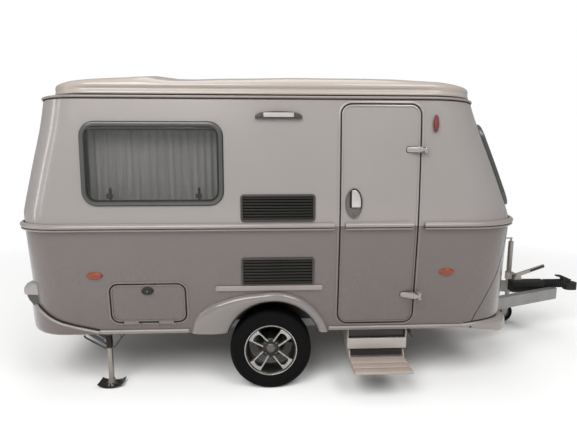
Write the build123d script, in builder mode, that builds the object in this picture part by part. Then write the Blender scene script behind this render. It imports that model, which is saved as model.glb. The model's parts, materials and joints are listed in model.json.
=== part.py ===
from build123d import *
import os
from typing import NamedTuple

# Small travel caravan with a lifting roof, in millimetres.
# The origin is the centre of the towing ball; +X points forward, +Z up, and the right-hand side,
# where the entrance door is, lies towards -Y. Heights in the tables are above the ground.

# ---------------------------------------------------------------- driving sizes
BALL_HEIGHT = 430.0
GROUND = -BALL_HEIGHT
AXLE_X = -2800.0

WALL = 30.0
FLOOR = 30.0
END_BOW = 45.0
PANEL_GAP = 6.0
RUN = 5.0


class Level(NamedTuple):
    """One plan section: height above ground, reach behind and ahead of the axle, half width, corner radii."""

    height: float
    rear: float
    front: float
    half: float
    rear_corner: float
    front_corner: float


SILL = Level(445.0, 1718.0, 1790.0, 918.0, 300.0, 380.0)
BELT = Level(1191.0, 1733.0, 1812.0, 970.0, 320.0, 420.0)
GUTTER = Level(2020.0, 1555.0, 1480.0, 940.0, 310.0, 400.0)
LOWER = [SILL, BELT]
UPPER = [
    BELT,
    Level(1290.0, 1732.0, 1778.0, 970.0, 320.0, 420.0),
    Level(1800.0, 1597.0, 1564.0, 955.0, 315.0, 410.0),
    GUTTER,
]
ROOF = [
    Level(2040.0, 1480.0, 1465.0, 925.0, 290.0, 380.0),
    Level(2095.0, 1470.0, 1455.0, 918.0, 285.0, 375.0),
    Level(2138.0, 1448.0, 1425.0, 880.0, 280.0, 370.0),
    Level(2168.0, 1385.0, 1350.0, 780.0, 280.0, 360.0),
    Level(2202.0, 1190.0, 1150.0, 560.0, 270.0, 300.0),
    Level(2232.0, 800.0, 800.0, 330.0, 200.0, 200.0),
    Level(2246.0, 420.0, 450.0, 160.0, 100.0, 100.0),
]
CAP_WALL = 25.0
RIM_HEIGHT = 15.0
RIM_PROUD = 12.0
RIM_WIDTH = 110.0


class Opening(NamedTuple):
    """A rounded rectangle in a wall: low and high along the wall, bottom and top height, corner."""

    low: float
    high: float
    bottom: float
    top: float
    corner: float


DOOR = Opening(460.0, 998.0, 492.0, 1993.0, 75.0)
SERVICE = Opening(-1083.0, -569.0, 524.0, 808.0, 60.0)
SIDE_WINDOW = Opening(-1200.0, -303.0, 1339.0, 1869.0, 90.0)
KITCHEN_WINDOW = Opening(300.0, 900.0, 1440.0, 1869.0, 80.0)
FRONT_WINDOW = Opening(-700.0, 700.0, 1285.0, 1885.0, 110.0)
REAR_WINDOW = Opening(-640.0, 640.0, 1330.0, 1870.0, 100.0)
LOCKER = Opening(-560.0, 560.0, 540.0, 900.0, 70.0)
UPPER_VENT = Opening(-193.0, 300.0, 1213.0 + 12.0, 1407.0, 24.0)
LOWER_VENT = Opening(-196.0, 299.0, 779.0, 980.0, 24.0)
FLANGE = 12.0

TYRE_RADIUS = 290.0
TYRE_WIDTH = 175.0
RIM_RADIUS = 188.0
TRACK_HALF = 816.0
HUB_RADIUS = 60.0
DRUM_WIDTH = 50.0
DRUM_BACK = TRACK_HALF - 112.0
ARM_WIDTH = 25.0
ARM_INNER = DRUM_BACK - 84.0
STUB_GAP = 4.0
ARCH_X = 20.0
ARCH_HEIGHT = 340.0
ARCH_RADIUS = 330.0
WELL_RADIUS = ARCH_RADIUS + 20.0

RAIL_HALF = 560.0
RAIL_WIDTH = 60.0
RAIL_HEIGHT = 100.0
RAIL_TOP = SILL.height

BELT_HALF_HEIGHT = 26.0
BELT_PROUD = 30.0
BELT_REAR_END = 425.0
BELT_DOOR_LOW = 500.0
BELT_DOOR_HIGH = 953.0
BELT_FRONT_START = 1035.0

DOOR_PIN_X = 1018.0
DOOR_PIN_Y = 990.0
PIN_RADIUS = 5.0
KNUCKLE_RADIUS = 9.0
KNUCKLE_HALF = 20.0
HINGE_HEIGHTS = (703.0, 1696.0)

JOCKEY_X = -430.0
JOCKEY_Y = 262.0
JOCKEY_TUBE = 24.0
JOCKEY_INNER = 20.0
JOCKEY_WHEEL_RADIUS = 100.0
JOCKEY_WHEEL_WIDTH = 60.0
JOCKEY_TRAIL = 45.0

STEADY_REAR_X = -1160.0
STEADY_REAR_Y = 785.0
STEADY_FRONT_X = 1450.0
STEADY_FRONT_Y = 660.0
STEADY_FOLD = 85.0
STEADY_PIN = 405.0
LEG_WIDTH = 40.0

STEP_LOW = 545.0
STEP_HIGH = 970.0
STEP_TREAD_TOP = 228.0
STEP_TREAD_THICK = 20.0
STEP_ARM_TOP = STEP_TREAD_TOP + 50.0
STEP_FASCIA_LOW = 291.0
STEP_FASCIA_HIGH = 368.0
STEP_FACE = 900.0

os.makedirs("parts", exist_ok=True)


def save(block, label):
    """Name a finished piece and write it."""
    block.part.label = label
    export_step(block.part, f"parts/{label}.step")


def value_at(levels, column, height):
    """Read one column of a level table at a height, straight between its rows."""
    for low, high in zip(levels, levels[1:]):
        if height <= high.height:
            share = (height - low.height) / (high.height - low.height)
            return getattr(low, column) + share * (getattr(high, column) - getattr(low, column))
    return getattr(levels[-1], column)


def body_half(height):
    """Half width of the body's outer skin at a height."""
    return value_at(LOWER + UPPER[1:], "half", height)


def outline_face(level, outset=0.0, drop=0.0):
    """Plan outline of the body at one level: straight sides and bowed ends with rounded corners."""
    rear = AXLE_X - level.rear - outset
    front = AXLE_X + level.front + outset
    half = level.half + outset
    with BuildSketch(Plane.XY.offset(GROUND + level.height - drop)) as face:
        with BuildLine():
            Line((rear + END_BOW, half), (front - END_BOW, half))
            ThreePointArc((front - END_BOW, half), (front, 0), (front - END_BOW, -half))
            Line((front - END_BOW, -half), (rear + END_BOW, -half))
            ThreePointArc((rear + END_BOW, -half), (rear, 0), (rear + END_BOW, half))
        make_face()
        corners = face.vertices().sort_by(Axis.X)
        fillet(corners[:2], level.rear_corner + outset)
        fillet(face.vertices().sort_by(Axis.X)[-2:], level.front_corner + outset)
    return face.sketch


def body_solid(levels, outset=0.0, drop=0.0):
    """Solid between the plan outlines of a level table, grown or shrunk by an outset."""
    with BuildPart() as block:
        loft([outline_face(level, outset, drop).face() for level in levels], ruled=True)
    return block.part


def skin(levels, outer, inner):
    """Open tube between two outsets of the same level table."""
    with BuildPart() as block:
        add(body_solid(levels, outer))
        add(body_solid(levels, inner), mode=Mode.SUBTRACT)
    return block.part


def side_prism(opening, grow=0.0, side=-1):
    """Rounded bar through one side wall; side is -1 for the right wall and 1 for the left."""
    plane = Plane.XZ.offset(600.0) if side < 0 else Plane.XZ.offset(-1200.0)
    centre = (AXLE_X + (opening.low + opening.high) / 2, GROUND + (opening.bottom + opening.top) / 2)
    with BuildPart() as block:
        with BuildSketch(plane):
            with Locations(centre):
                RectangleRounded(
                    opening.high - opening.low + 2 * grow,
                    opening.top - opening.bottom + 2 * grow,
                    max(opening.corner + grow, 4.0),
                )
        extrude(amount=600.0)
    return block.part


def end_prism(opening, grow=0.0, end=1):
    """Rounded bar through one end wall; end is 1 for the front and -1 for the rear."""
    plane = Plane.YZ.offset(AXLE_X + 1300.0) if end > 0 else Plane.YZ.offset(AXLE_X - 2300.0)
    centre = ((opening.low + opening.high) / 2, GROUND + (opening.bottom + opening.top) / 2)
    with BuildPart() as block:
        with BuildSketch(plane):
            with Locations(centre):
                RectangleRounded(
                    opening.high - opening.low + 2 * grow,
                    opening.top - opening.bottom + 2 * grow,
                    max(opening.corner + grow, 4.0),
                )
        extrude(amount=1000.0)
    return block.part


def block_between(low, high):
    """Plain cutting block between two corners."""
    with BuildPart() as block:
        with Locations(((low[0] + high[0]) / 2, (low[1] + high[1]) / 2, (low[2] + high[2]) / 2)):
            Box(high[0] - low[0], high[1] - low[1], high[2] - low[2])
    return block.part


REAR_CUT = AXLE_X - 1300.0
FRONT_CUT = AXLE_X + 1190.0
FAR = 3000.0

# ---------------------------------------------------------------- walls
lower_skin = skin(LOWER, 0.0, -WALL)
upper_skin = skin(UPPER, 0.0, -WALL)

with BuildPart() as arch_cutter:
    with BuildSketch(Plane.XZ.offset(-FAR)):
        with Locations((AXLE_X + ARCH_X, GROUND + ARCH_HEIGHT)):
            Circle(WELL_RADIUS)
    extrude(amount=2 * FAR)

SEAM = [(1390.0, SILL.height), (1525.0, 670.0), (1700.0, BELT.height)]
with BuildPart() as front_zone:
    with BuildSketch(Plane.XZ.offset(-FAR)):
        with BuildLine():
            start, middle, end = [(AXLE_X + x, GROUND + z) for x, z in SEAM]
            arc = ThreePointArc(start, middle, end)
            Polyline(
                end,
                (AXLE_X + FAR, end[1]),
                (AXLE_X + FAR, start[1]),
                start,
            )
        make_face()
    extrude(amount=2 * FAR)

with BuildPart() as middle_zone:
    add(block_between((REAR_CUT, -FAR, GROUND), (AXLE_X + FAR, FAR, GROUND + 3000.0)))
    add(front_zone.part, mode=Mode.SUBTRACT)

for side, name in ((-1, "right"), (1, "left")):
    half_space = block_between((REAR_CUT, min(0, side * FAR), GROUND), (AXLE_X + FAR, max(0, side * FAR), 3000.0))
    with BuildPart() as lower_side:
        add(lower_skin)
        add(half_space, mode=Mode.INTERSECT)
        add(front_zone.part, mode=Mode.SUBTRACT)
        add(arch_cutter.part, mode=Mode.SUBTRACT)
        if side < 0:
            add(side_prism(DOOR), mode=Mode.SUBTRACT)
            add(side_prism(SERVICE), mode=Mode.SUBTRACT)
            add(side_prism(LOWER_VENT, -FLANGE), mode=Mode.SUBTRACT)
    save(lower_side, f"lower_wall_{name}")

    upper_half = block_between((REAR_CUT, min(0, side * FAR), GROUND), (FRONT_CUT, max(0, side * FAR), 3000.0))
    with BuildPart() as upper_side:
        add(upper_skin)
        add(upper_half, mode=Mode.INTERSECT)
        add(side_prism(SIDE_WINDOW, -20.0, side), mode=Mode.SUBTRACT)
        if side < 0:
            add(side_prism(DOOR), mode=Mode.SUBTRACT)
            add(side_prism(UPPER_VENT, -FLANGE), mode=Mode.SUBTRACT)
        else:
            add(side_prism(KITCHEN_WINDOW, -20.0, side), mode=Mode.SUBTRACT)
    save(upper_side, f"upper_wall_{name}")

with BuildPart() as lower_wall_rear:
    add(lower_skin)
    add(block_between((AXLE_X - FAR, -FAR, GROUND), (REAR_CUT, FAR, 3000.0)), mode=Mode.INTERSECT)
save(lower_wall_rear, "lower_wall_rear")

with BuildPart() as upper_wall_rear:
    add(upper_skin)
    add(block_between((AXLE_X - FAR, -FAR, GROUND), (REAR_CUT, FAR, 3000.0)), mode=Mode.INTERSECT)
    add(end_prism(REAR_WINDOW, -20.0, -1), mode=Mode.SUBTRACT)
save(upper_wall_rear, "upper_wall_rear")

with BuildPart() as lower_wall_front:
    add(lower_skin)
    add(front_zone.part, mode=Mode.INTERSECT)
    add(end_prism(LOCKER, 0.0, 1), mode=Mode.SUBTRACT)
save(lower_wall_front, "lower_wall_front")

with BuildPart() as upper_wall_front:
    add(upper_skin)
    add(block_between((FRONT_CUT, -FAR, GROUND), (AXLE_X + FAR, FAR, 3000.0)), mode=Mode.INTERSECT)
    add(end_prism(FRONT_WINDOW, -20.0, 1), mode=Mode.SUBTRACT)
save(upper_wall_front, "upper_wall_front")

# ---------------------------------------------------------------- floor
BOX_WALL = 8.0
BOX_START = TRACK_HALF - TYRE_WIDTH / 2 - 35.0
with BuildPart() as floor_panel:
    with BuildSketch(Plane.XY.offset(GROUND + SILL.height)):
        add(outline_face(SILL, -WALL).moved(Location((0, 0, -(GROUND + SILL.height)))))
    extrude(amount=FLOOR)
    with BuildSketch(Plane.XY.offset(GROUND + SILL.height)):
        for side in (-1, 1):
            with Locations((AXLE_X + ARCH_X, side * (BOX_START + 200.0))):
                Rectangle(2 * WELL_RADIUS, 400.0)
    extrude(amount=FLOOR, mode=Mode.SUBTRACT)
save(floor_panel, "floor_panel")

# ---------------------------------------------------------------- fixed roof rim
with BuildPart() as roof_frame:
    with BuildSketch(Plane.XY.offset(GROUND + GUTTER.height)):
        add(outline_face(GUTTER, RIM_PROUD).moved(Location((0, 0, -(GROUND + GUTTER.height)))))
        add(outline_face(GUTTER, -RIM_WIDTH).moved(Location((0, 0, -(GROUND + GUTTER.height)))), mode=Mode.SUBTRACT)
    extrude(amount=RIM_HEIGHT)
save(roof_frame, "roof_frame")

# ---------------------------------------------------------------- lifting roof
with BuildPart() as roof_cap:
    add(body_solid(ROOF))
    add(body_solid(ROOF[:-1], -CAP_WALL, CAP_WALL), mode=Mode.SUBTRACT)
save(roof_cap, "roof_cap")

# ---------------------------------------------------------------- entrance door
with BuildPart() as door_panel:
    add(skin(LOWER + UPPER[1:], 0.0, -WALL))
    add(side_prism(DOOR, -PANEL_GAP), mode=Mode.INTERSECT)
save(door_panel, "door_panel")

HANDLE = Opening(496.0, 614.0, 1242.0, 1447.0, 56.0)
with BuildPart() as door_handle:
    add(skin(UPPER, 26.0, 0.1))
    add(side_prism(HANDLE), mode=Mode.INTERSECT)
    add(side_prism(HANDLE, -22.0), mode=Mode.SUBTRACT)
    with BuildPart(mode=Mode.PRIVATE) as paddle:
        add(skin(UPPER, 20.0, 0.1))
        add(side_prism(HANDLE._replace(bottom=1330.0), -20.0), mode=Mode.INTERSECT)
    add(paddle.part)
save(door_handle, "door_handle")

with BuildPart() as door_hinges:
    for height in HINGE_HEIGHTS:
        strap = Opening(DOOR.high - 95.0, DOOR_PIN_X, height - KNUCKLE_HALF, height + KNUCKLE_HALF, 3.0)
        outset = DOOR_PIN_Y - body_half(height)
        levels = LOWER if height < BELT.height else UPPER
        with BuildPart(mode=Mode.PRIVATE) as leaf:
            add(skin(levels, outset + 4.0, 0.1))
            add(side_prism(strap._replace(high=DOOR.high - PANEL_GAP)), mode=Mode.INTERSECT)
        add(leaf.part)
        add(block_between(
            (AXLE_X + strap.low + 50.0, -DOOR_PIN_Y - 4.0, GROUND + strap.bottom),
            (AXLE_X + DOOR_PIN_X, -DOOR_PIN_Y + 4.0, GROUND + strap.top),
        ))
        with Locations((AXLE_X + DOOR_PIN_X, -DOOR_PIN_Y, GROUND + height)):
            Cylinder(KNUCKLE_RADIUS, 2 * KNUCKLE_HALF)
            Cylinder(PIN_RADIUS, 2 * KNUCKLE_HALF + 2, mode=Mode.SUBTRACT)
save(door_hinges, "door_hinges")

with BuildPart() as hinge_posts:
    for height in HINGE_HEIGHTS:
        reach = DOOR_PIN_Y + KNUCKLE_RADIUS
        with Locations((AXLE_X + DOOR_PIN_X, -DOOR_PIN_Y, GROUND + height)):
            Cylinder(PIN_RADIUS - 0.2, 2 * KNUCKLE_HALF + 24.0)
        for low in (height - KNUCKLE_HALF - 12.0, height + KNUCKLE_HALF + 2.0):
            post_levels = LOWER if height < BELT.height else UPPER
            with BuildPart(mode=Mode.PRIVATE) as post:
                add(block_between(
                    (AXLE_X + DOOR_PIN_X - KNUCKLE_RADIUS, -reach, GROUND + low),
                    (AXLE_X + DOOR_PIN_X + KNUCKLE_RADIUS, -800.0, GROUND + low + 10.0),
                ))
                add(body_solid(post_levels), mode=Mode.SUBTRACT)
            add(post.part)
save(hinge_posts, "hinge_posts")

# ---------------------------------------------------------------- belt rail
belt_levels = [
    BELT._replace(height=BELT.height - BELT_HALF_HEIGHT),
    BELT._replace(height=BELT.height + BELT_HALF_HEIGHT),
]
belt_ring = skin(belt_levels, BELT_PROUD, 0.2)
belt_gap = Opening(BELT_REAR_END, BELT_FRONT_START, 900.0, 1400.0, 10.0)
belt_on_door = Opening(BELT_DOOR_LOW, BELT_DOOR_HIGH, 900.0, 1400.0, 10.0)
with BuildPart() as belt_rail:
    add(belt_ring)
    add(side_prism(belt_gap), mode=Mode.SUBTRACT)
save(belt_rail, "belt_rail")
with BuildPart() as door_belt:
    add(belt_ring)
    add(side_prism(belt_on_door), mode=Mode.INTERSECT)
save(door_belt, "door_belt")

# ---------------------------------------------------------------- sill rail
SILL_PROUD = 14.0
sill_levels = [SILL._replace(height=SILL.height), SILL._replace(height=SILL.height + 30.0, half=SILL.half + 2.1)]
with BuildPart() as sill_rail:
    add(skin(sill_levels, SILL_PROUD, 3.0))
    add(block_between((AXLE_X - FAR, -FAR, -FAR), (AXLE_X - 1165.0, FAR, FAR)), mode=Mode.SUBTRACT)
    add(block_between((AXLE_X + 1400.0, -FAR, -FAR), (AXLE_X + FAR, FAR, FAR)), mode=Mode.SUBTRACT)
    add(block_between((AXLE_X - 560.0, -FAR, -FAR), (AXLE_X + 405.0, FAR, FAR)), mode=Mode.SUBTRACT)
save(sill_rail, "sill_rail")

# ---------------------------------------------------------------- service flap
with BuildPart() as service_flap:
    add(lower_skin)
    add(side_prism(SERVICE, -PANEL_GAP), mode=Mode.INTERSECT)
save(service_flap, "service_flap")

FLAP_PIN_Y = 930.0
FLAP_PIN_HEIGHT = 520.0
FLAP_PIN_RADIUS = 3.0
FLAP_HINGES = (-985.0, -665.0)
with BuildPart() as flap_fittings:
    for x in FLAP_HINGES:
        with BuildSketch(Plane.YZ.offset(AXLE_X + x - 30.0)):
            with Locations((-FLAP_PIN_Y, GROUND + FLAP_PIN_HEIGHT)):
                Circle(FLAP_PIN_RADIUS + 3.0)
                Circle(FLAP_PIN_RADIUS, mode=Mode.SUBTRACT)
            with Locations((-FLAP_PIN_Y, GROUND + FLAP_PIN_HEIGHT + 19.0)):
                Rectangle(5.0, 27.0)
        extrude(amount=60.0)
    with BuildSketch(Plane.XZ.offset(936.0)):
        with Locations((AXLE_X - 827.0, GROUND + 754.0)):
            SlotOverall(82.0, 56.0)
    extrude(amount=18.0)
    add(body_solid(LOWER), mode=Mode.SUBTRACT)
save(flap_fittings, "flap_fittings")

with BuildPart() as flap_pins:
    for x in FLAP_HINGES:
        with BuildSketch(Plane.YZ.offset(AXLE_X + x - 40.0)):
            with Locations((-FLAP_PIN_Y, GROUND + FLAP_PIN_HEIGHT)):
                Circle(FLAP_PIN_RADIUS - 0.2)
        extrude(amount=80.0)
        for end in (-40.0, 32.0):
            with BuildPart(mode=Mode.PRIVATE) as lug:
                add(block_between(
                    (AXLE_X + x + end, -FLAP_PIN_Y - 6.0, GROUND + FLAP_PIN_HEIGHT - 14.0),
                    (AXLE_X + x + end + 8.0, -880.0, GROUND + FLAP_PIN_HEIGHT + 3.0),
                ))
                add(body_solid(LOWER), mode=Mode.SUBTRACT)
            add(lug.part)
save(flap_pins, "flap_pins")

# ---------------------------------------------------------------- gas locker lid
with BuildPart() as locker_lid:
    add(lower_skin)
    add(end_prism(LOCKER, -PANEL_GAP, 1), mode=Mode.INTERSECT)
save(locker_lid, "locker_lid")

LID_PIN_X = 1811.0
LID_PIN_HEIGHT = 905.0
with BuildPart() as lid_hinges:
    for y in (-330.0, 330.0):
        with BuildSketch(Plane.XZ.offset(-y - 30.0)):
            with Locations((AXLE_X + LID_PIN_X, GROUND + LID_PIN_HEIGHT)):
                Circle(FLAP_PIN_RADIUS + 3.0)
                Circle(FLAP_PIN_RADIUS, mode=Mode.SUBTRACT)
            with Locations((AXLE_X + LID_PIN_X - 6.0, GROUND + LID_PIN_HEIGHT - 24.0)):
                Rectangle(16.0, 37.0)
        extrude(amount=60.0)
    add(lower_skin, mode=Mode.SUBTRACT)
save(lid_hinges, "lid_hinges")

with BuildPart() as lid_pins:
    for y in (-330.0, 330.0):
        with BuildSketch(Plane.XZ.offset(-y - 44.0)):
            with Locations((AXLE_X + LID_PIN_X, GROUND + LID_PIN_HEIGHT)):
                Circle(FLAP_PIN_RADIUS - 0.2)
        extrude(amount=88.0)
        for end in (-44.0, 34.0):
            with BuildPart(mode=Mode.PRIVATE) as lug:
                add(block_between(
                    (AXLE_X + LID_PIN_X - 60.0, y + end, GROUND + LID_PIN_HEIGHT - 4.0),
                    (AXLE_X + LID_PIN_X + 6.0, y + end + 10.0, GROUND + LID_PIN_HEIGHT + 12.0),
                ))
                add(body_solid(LOWER), mode=Mode.SUBTRACT)
            add(lug.part)
save(lid_pins, "lid_pins")

# ---------------------------------------------------------------- windows
WINDOWS = [
    (SIDE_WINDOW, "side", -1, 22.0),
    (SIDE_WINDOW, "side", 1, 22.0),
    (KITCHEN_WINDOW, "side", 1, 22.0),
    (FRONT_WINDOW, "end", 1, 40.0),
    (REAR_WINDOW, "end", -1, 25.0),
]
outer_frame_skin = {proud: skin(UPPER, proud - 8.0, 0.0) for proud in (22.0, 25.0, 40.0)}
pane_skin = {proud: skin(UPPER, proud, proud - 6.0) for proud in (22.0, 25.0, 40.0)}
with BuildPart() as window_frames:
    for opening, wall, side, proud in WINDOWS:
        prism = side_prism if wall == "side" else end_prism
        with BuildPart(mode=Mode.PRIVATE) as ring:
            add(outer_frame_skin[proud])
            add(prism(opening, 0.0, side), mode=Mode.INTERSECT)
            add(prism(opening, -32.0, side), mode=Mode.SUBTRACT)
        add(ring.part)
save(window_frames, "window_frames")
with BuildPart() as window_panes:
    for opening, wall, side, proud in WINDOWS:
        prism = side_prism if wall == "side" else end_prism
        with BuildPart(mode=Mode.PRIVATE) as pane:
            add(pane_skin[proud])
            add(prism(opening, -6.0, side), mode=Mode.INTERSECT)
        add(pane.part)
save(window_panes, "window_panes")

# ---------------------------------------------------------------- vents
VENT_PROUD = 9.0
with BuildPart() as vent_grilles:
    for opening, levels in ((UPPER_VENT, UPPER), (LOWER_VENT, LOWER)):
        with BuildPart(mode=Mode.PRIVATE) as grille:
            add(skin(levels, VENT_PROUD, 0.0))
            add(side_prism(opening), mode=Mode.INTERSECT)
            slats = 9
            pitch = (opening.top - opening.bottom - 30.0) / slats
            for index in range(slats):
                low = opening.bottom + 15.0 + (index + 0.25) * pitch
                slot = Opening(opening.low + 14.0, opening.high - 14.0, low, low + 0.5 * pitch, 3.0)
                add(side_prism(slot), mode=Mode.SUBTRACT)
        add(grille.part)
save(vent_grilles, "vent_grilles")

# ---------------------------------------------------------------- wheel-arch fairings
FAIRING_FACE = 968.0
LIP_RADIUS = ARCH_RADIUS + 60.0
FAIRING_SHOULDER = (-400.0, 642.0)
FAIRING_TAIL = (-545.0, SILL.height)
for side, name in ((-1, "right"), (1, "left")):
    plane = Plane.XZ.offset(700.0) if side < 0 else Plane.XZ.offset(-FAIRING_FACE)
    with BuildPart() as wheel_arch:
        with BuildSketch(plane):
            with BuildLine():
                centre = Vector(AXLE_X + ARCH_X, GROUND + ARCH_HEIGHT)
                drop = SILL.height - ARCH_HEIGHT
                front = centre + Vector((LIP_RADIUS**2 - drop**2) ** 0.5, drop)
                corner = centre + Vector(LIP_RADIUS, 0).rotate(Axis.Z, 45)
                crown = centre + Vector(0, LIP_RADIUS)
                shoulder = Vector(AXLE_X + FAIRING_SHOULDER[0], GROUND + FAIRING_SHOULDER[1])
                tail = Vector(AXLE_X + FAIRING_TAIL[0], GROUND + FAIRING_TAIL[1])
                ThreePointArc(front, corner, crown)
                ThreePointArc(crown, (crown + shoulder) / 2 + Vector(0, 18), shoulder)
                ThreePointArc(shoulder, (shoulder + tail) / 2 + Vector(-28, 28), tail)
                Line(tail, front)
            make_face()
            with Locations((AXLE_X + ARCH_X, GROUND + ARCH_HEIGHT)):
                Circle(ARCH_RADIUS, mode=Mode.SUBTRACT)
        extrude(amount=FAIRING_FACE - 700.0)
        add(body_solid([SILL._replace(height=300.0), SILL, BELT]), mode=Mode.SUBTRACT)
    save(wheel_arch, f"wheel_arch_{name}")

with BuildPart() as wheel_boxes:
    for side in (-1, 1):
        end = body_half(SILL.height) - WALL
        centre = (AXLE_X + ARCH_X, side * BOX_START, GROUND + ARCH_HEIGHT)
        plane = Plane(origin=centre, x_dir=(1, 0, 0), z_dir=(0, side, 0))
        with BuildSketch(plane):
            Circle(WELL_RADIUS)
        extrude(amount=end - BOX_START)
        with BuildSketch(plane.offset(BOX_WALL)):
            Circle(WELL_RADIUS - BOX_WALL)
        extrude(amount=end - BOX_START, mode=Mode.SUBTRACT)
    add(block_between((-2 * FAR, -FAR, -FAR), (FAR, FAR, GROUND + SILL.height)), mode=Mode.SUBTRACT)
save(wheel_boxes, "wheel_boxes")

# ---------------------------------------------------------------- chassis
COUPLER_HALF = 60.0
with BuildPart() as chassis_frame:
    with BuildSketch(Plane.XY.offset(GROUND + RAIL_TOP)):
        for side in (-1, 1):
            with Locations((AXLE_X - 150.0, side * RAIL_HALF)):
                Rectangle(2800.0, RAIL_WIDTH)
        for x in (-1500.0, -520.0, 520.0, 1190.0):
            with Locations((AXLE_X + x, 0)):
                Rectangle(50.0, 2 * RAIL_HALF - RAIL_WIDTH)
    extrude(amount=-RAIL_HEIGHT)
save(chassis_frame, "chassis_frame")

BEAM_START = AXLE_X + 1250.0
BEAM_END = -160.0
with BuildPart() as drawbar:
    with BuildSketch(Plane.XY.offset(GROUND + RAIL_TOP)):
        for side in (-1, 1):
            with BuildLine():
                Polyline(
                    (BEAM_START, side * (RAIL_HALF - RAIL_WIDTH / 2)),
                    (BEAM_START, side * (RAIL_HALF + RAIL_WIDTH / 2)),
                    (BEAM_END, side * (COUPLER_HALF + 12)),
                    (BEAM_END, side * (COUPLER_HALF - 48)),
                    (BEAM_START, side * (RAIL_HALF - RAIL_WIDTH / 2)),
                )
            make_face()
        with Locations((BEAM_END - 30.0, 0)):
            Rectangle(60.0, 120.0)
    extrude(amount=-RAIL_HEIGHT)
save(drawbar, "drawbar")

with BuildPart() as coupling_head:
    with BuildSketch(Plane.YZ.offset(-560.0)):
        with Locations((0, 42.0)):
            RectangleRounded(90.0, 70.0, 14.0)
    extrude(amount=300.0)
    with BuildSketch(Plane.YZ.offset(-260.0)):
        with Locations((0, 41.0)):
            Circle(25.0)
    extrude(amount=230.0)
    with BuildSketch(Plane.XY.offset(-16.0)):
        with Locations((10.0, 0)):
            RectangleRounded(112.0, 84.0, 34.0)
    extrude(amount=66.0)
    with Locations((0, 0, 0)):
        Sphere(25.5, mode=Mode.SUBTRACT)
    with Locations((0, 0, -20.0)):
        Cylinder(25.5, 40.0, mode=Mode.SUBTRACT)
    with BuildSketch(Plane.XY.offset(-25.0)):
        with Locations((-410.0, 0)):
            Rectangle(300.0, 90.0)
    extrude(amount=34.0)
save(coupling_head, "coupling_head")

# ---------------------------------------------------------------- axle and wheels
BEAM_X = AXLE_X + 150.0
BEAM_HEIGHT = 285.0
SADDLE_HIGH = RAIL_TOP - RAIL_HEIGHT - 0.1
SADDLE_LOW = BEAM_HEIGHT + 31.0
with BuildPart() as axle_beam:
    with BuildSketch(Plane.XZ.offset(-ARM_INNER)):
        with Locations((BEAM_X, GROUND + BEAM_HEIGHT)):
            RegularPolygon(50.0, 6)
    extrude(amount=2 * ARM_INNER)
    for side in (-1, 1):
        with Locations((BEAM_X, side * RAIL_HALF, GROUND + (SADDLE_LOW + SADDLE_HIGH) / 2)):
            Box(150.0, RAIL_WIDTH, SADDLE_HIGH - SADDLE_LOW)
save(axle_beam, "axle_beam")

# x from the axle and height above the axle line
ARM_SHAPE = ((200.0, 10.0), (200.0, -60.0), (-30.0, -35.0), (-30.0, 35.0))
with BuildPart() as swing_arms:
    for side in (-1, 1):
        with BuildSketch(Plane.XZ.offset(-side * ARM_INNER)):
            with BuildLine():
                Polyline([(AXLE_X + x, GROUND + TYRE_RADIUS + z) for x, z in ARM_SHAPE + ARM_SHAPE[:1]])
            make_face()
        extrude(amount=-side * ARM_WIDTH)
        with BuildSketch(Plane.XZ.offset(-side * (ARM_INNER + ARM_WIDTH))):
            with Locations((AXLE_X, GROUND + TYRE_RADIUS)):
                Circle(17.0)
        extrude(amount=-side * (DRUM_BACK - STUB_GAP - ARM_INNER - ARM_WIDTH))
save(swing_arms, "swing_arms")

SPOKES = 4
RIM_BACK = TRACK_HALF - 70.0
for side, name in ((-1, "right"), (1, "left")):
    middle = Plane(origin=(AXLE_X, side * TRACK_HALF, GROUND + TYRE_RADIUS), x_dir=(1, 0, 0), z_dir=(0, side, 0))
    with BuildPart() as tyre:
        half = TYRE_WIDTH / 2
        with BuildSketch(Plane(middle.origin, x_dir=(1, 0, 0), z_dir=(0, 0, 1))):
            with BuildLine():
                Polyline(
                    (RIM_RADIUS - 6, -half + 20),
                    (RIM_RADIUS + 25, -half + 4),
                    (TYRE_RADIUS - 45, -half),
                    (TYRE_RADIUS - 8, -half + 18),
                    (TYRE_RADIUS, -half + 40),
                    (TYRE_RADIUS, half - 40),
                    (TYRE_RADIUS - 8, half - 18),
                    (TYRE_RADIUS - 45, half),
                    (RIM_RADIUS + 25, half - 4),
                    (RIM_RADIUS - 6, half - 20),
                    (RIM_RADIUS - 6, -half + 20),
                )
            make_face()
        revolve(axis=Axis((AXLE_X, side * TRACK_HALF, GROUND + TYRE_RADIUS), (0, 1, 0)))
    save(tyre, f"tyre_{name}")
    with BuildPart() as rim:
        with BuildSketch(middle.offset(-half + 10)):
            Circle(RIM_RADIUS - 6.2)
            Circle(RIM_RADIUS - 16.0, mode=Mode.SUBTRACT)
        extrude(amount=TYRE_WIDTH - 20)
        with BuildSketch(middle.offset(20.0)):
            Circle(HUB_RADIUS)
            with PolarLocations(105.0, SPOKES, 45.0):
                Rectangle(146.0, 56.0)
        extrude(amount=28.0)
        with BuildSketch(middle.offset(-60.0)):
            Circle(100.0)
            Circle(18.0, mode=Mode.SUBTRACT)
        extrude(amount=70.0)
        with BuildSketch(middle.offset(10.0)):
            Circle(40.0)
        extrude(amount=12.0)
    save(rim, f"rim_{name}")

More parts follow.
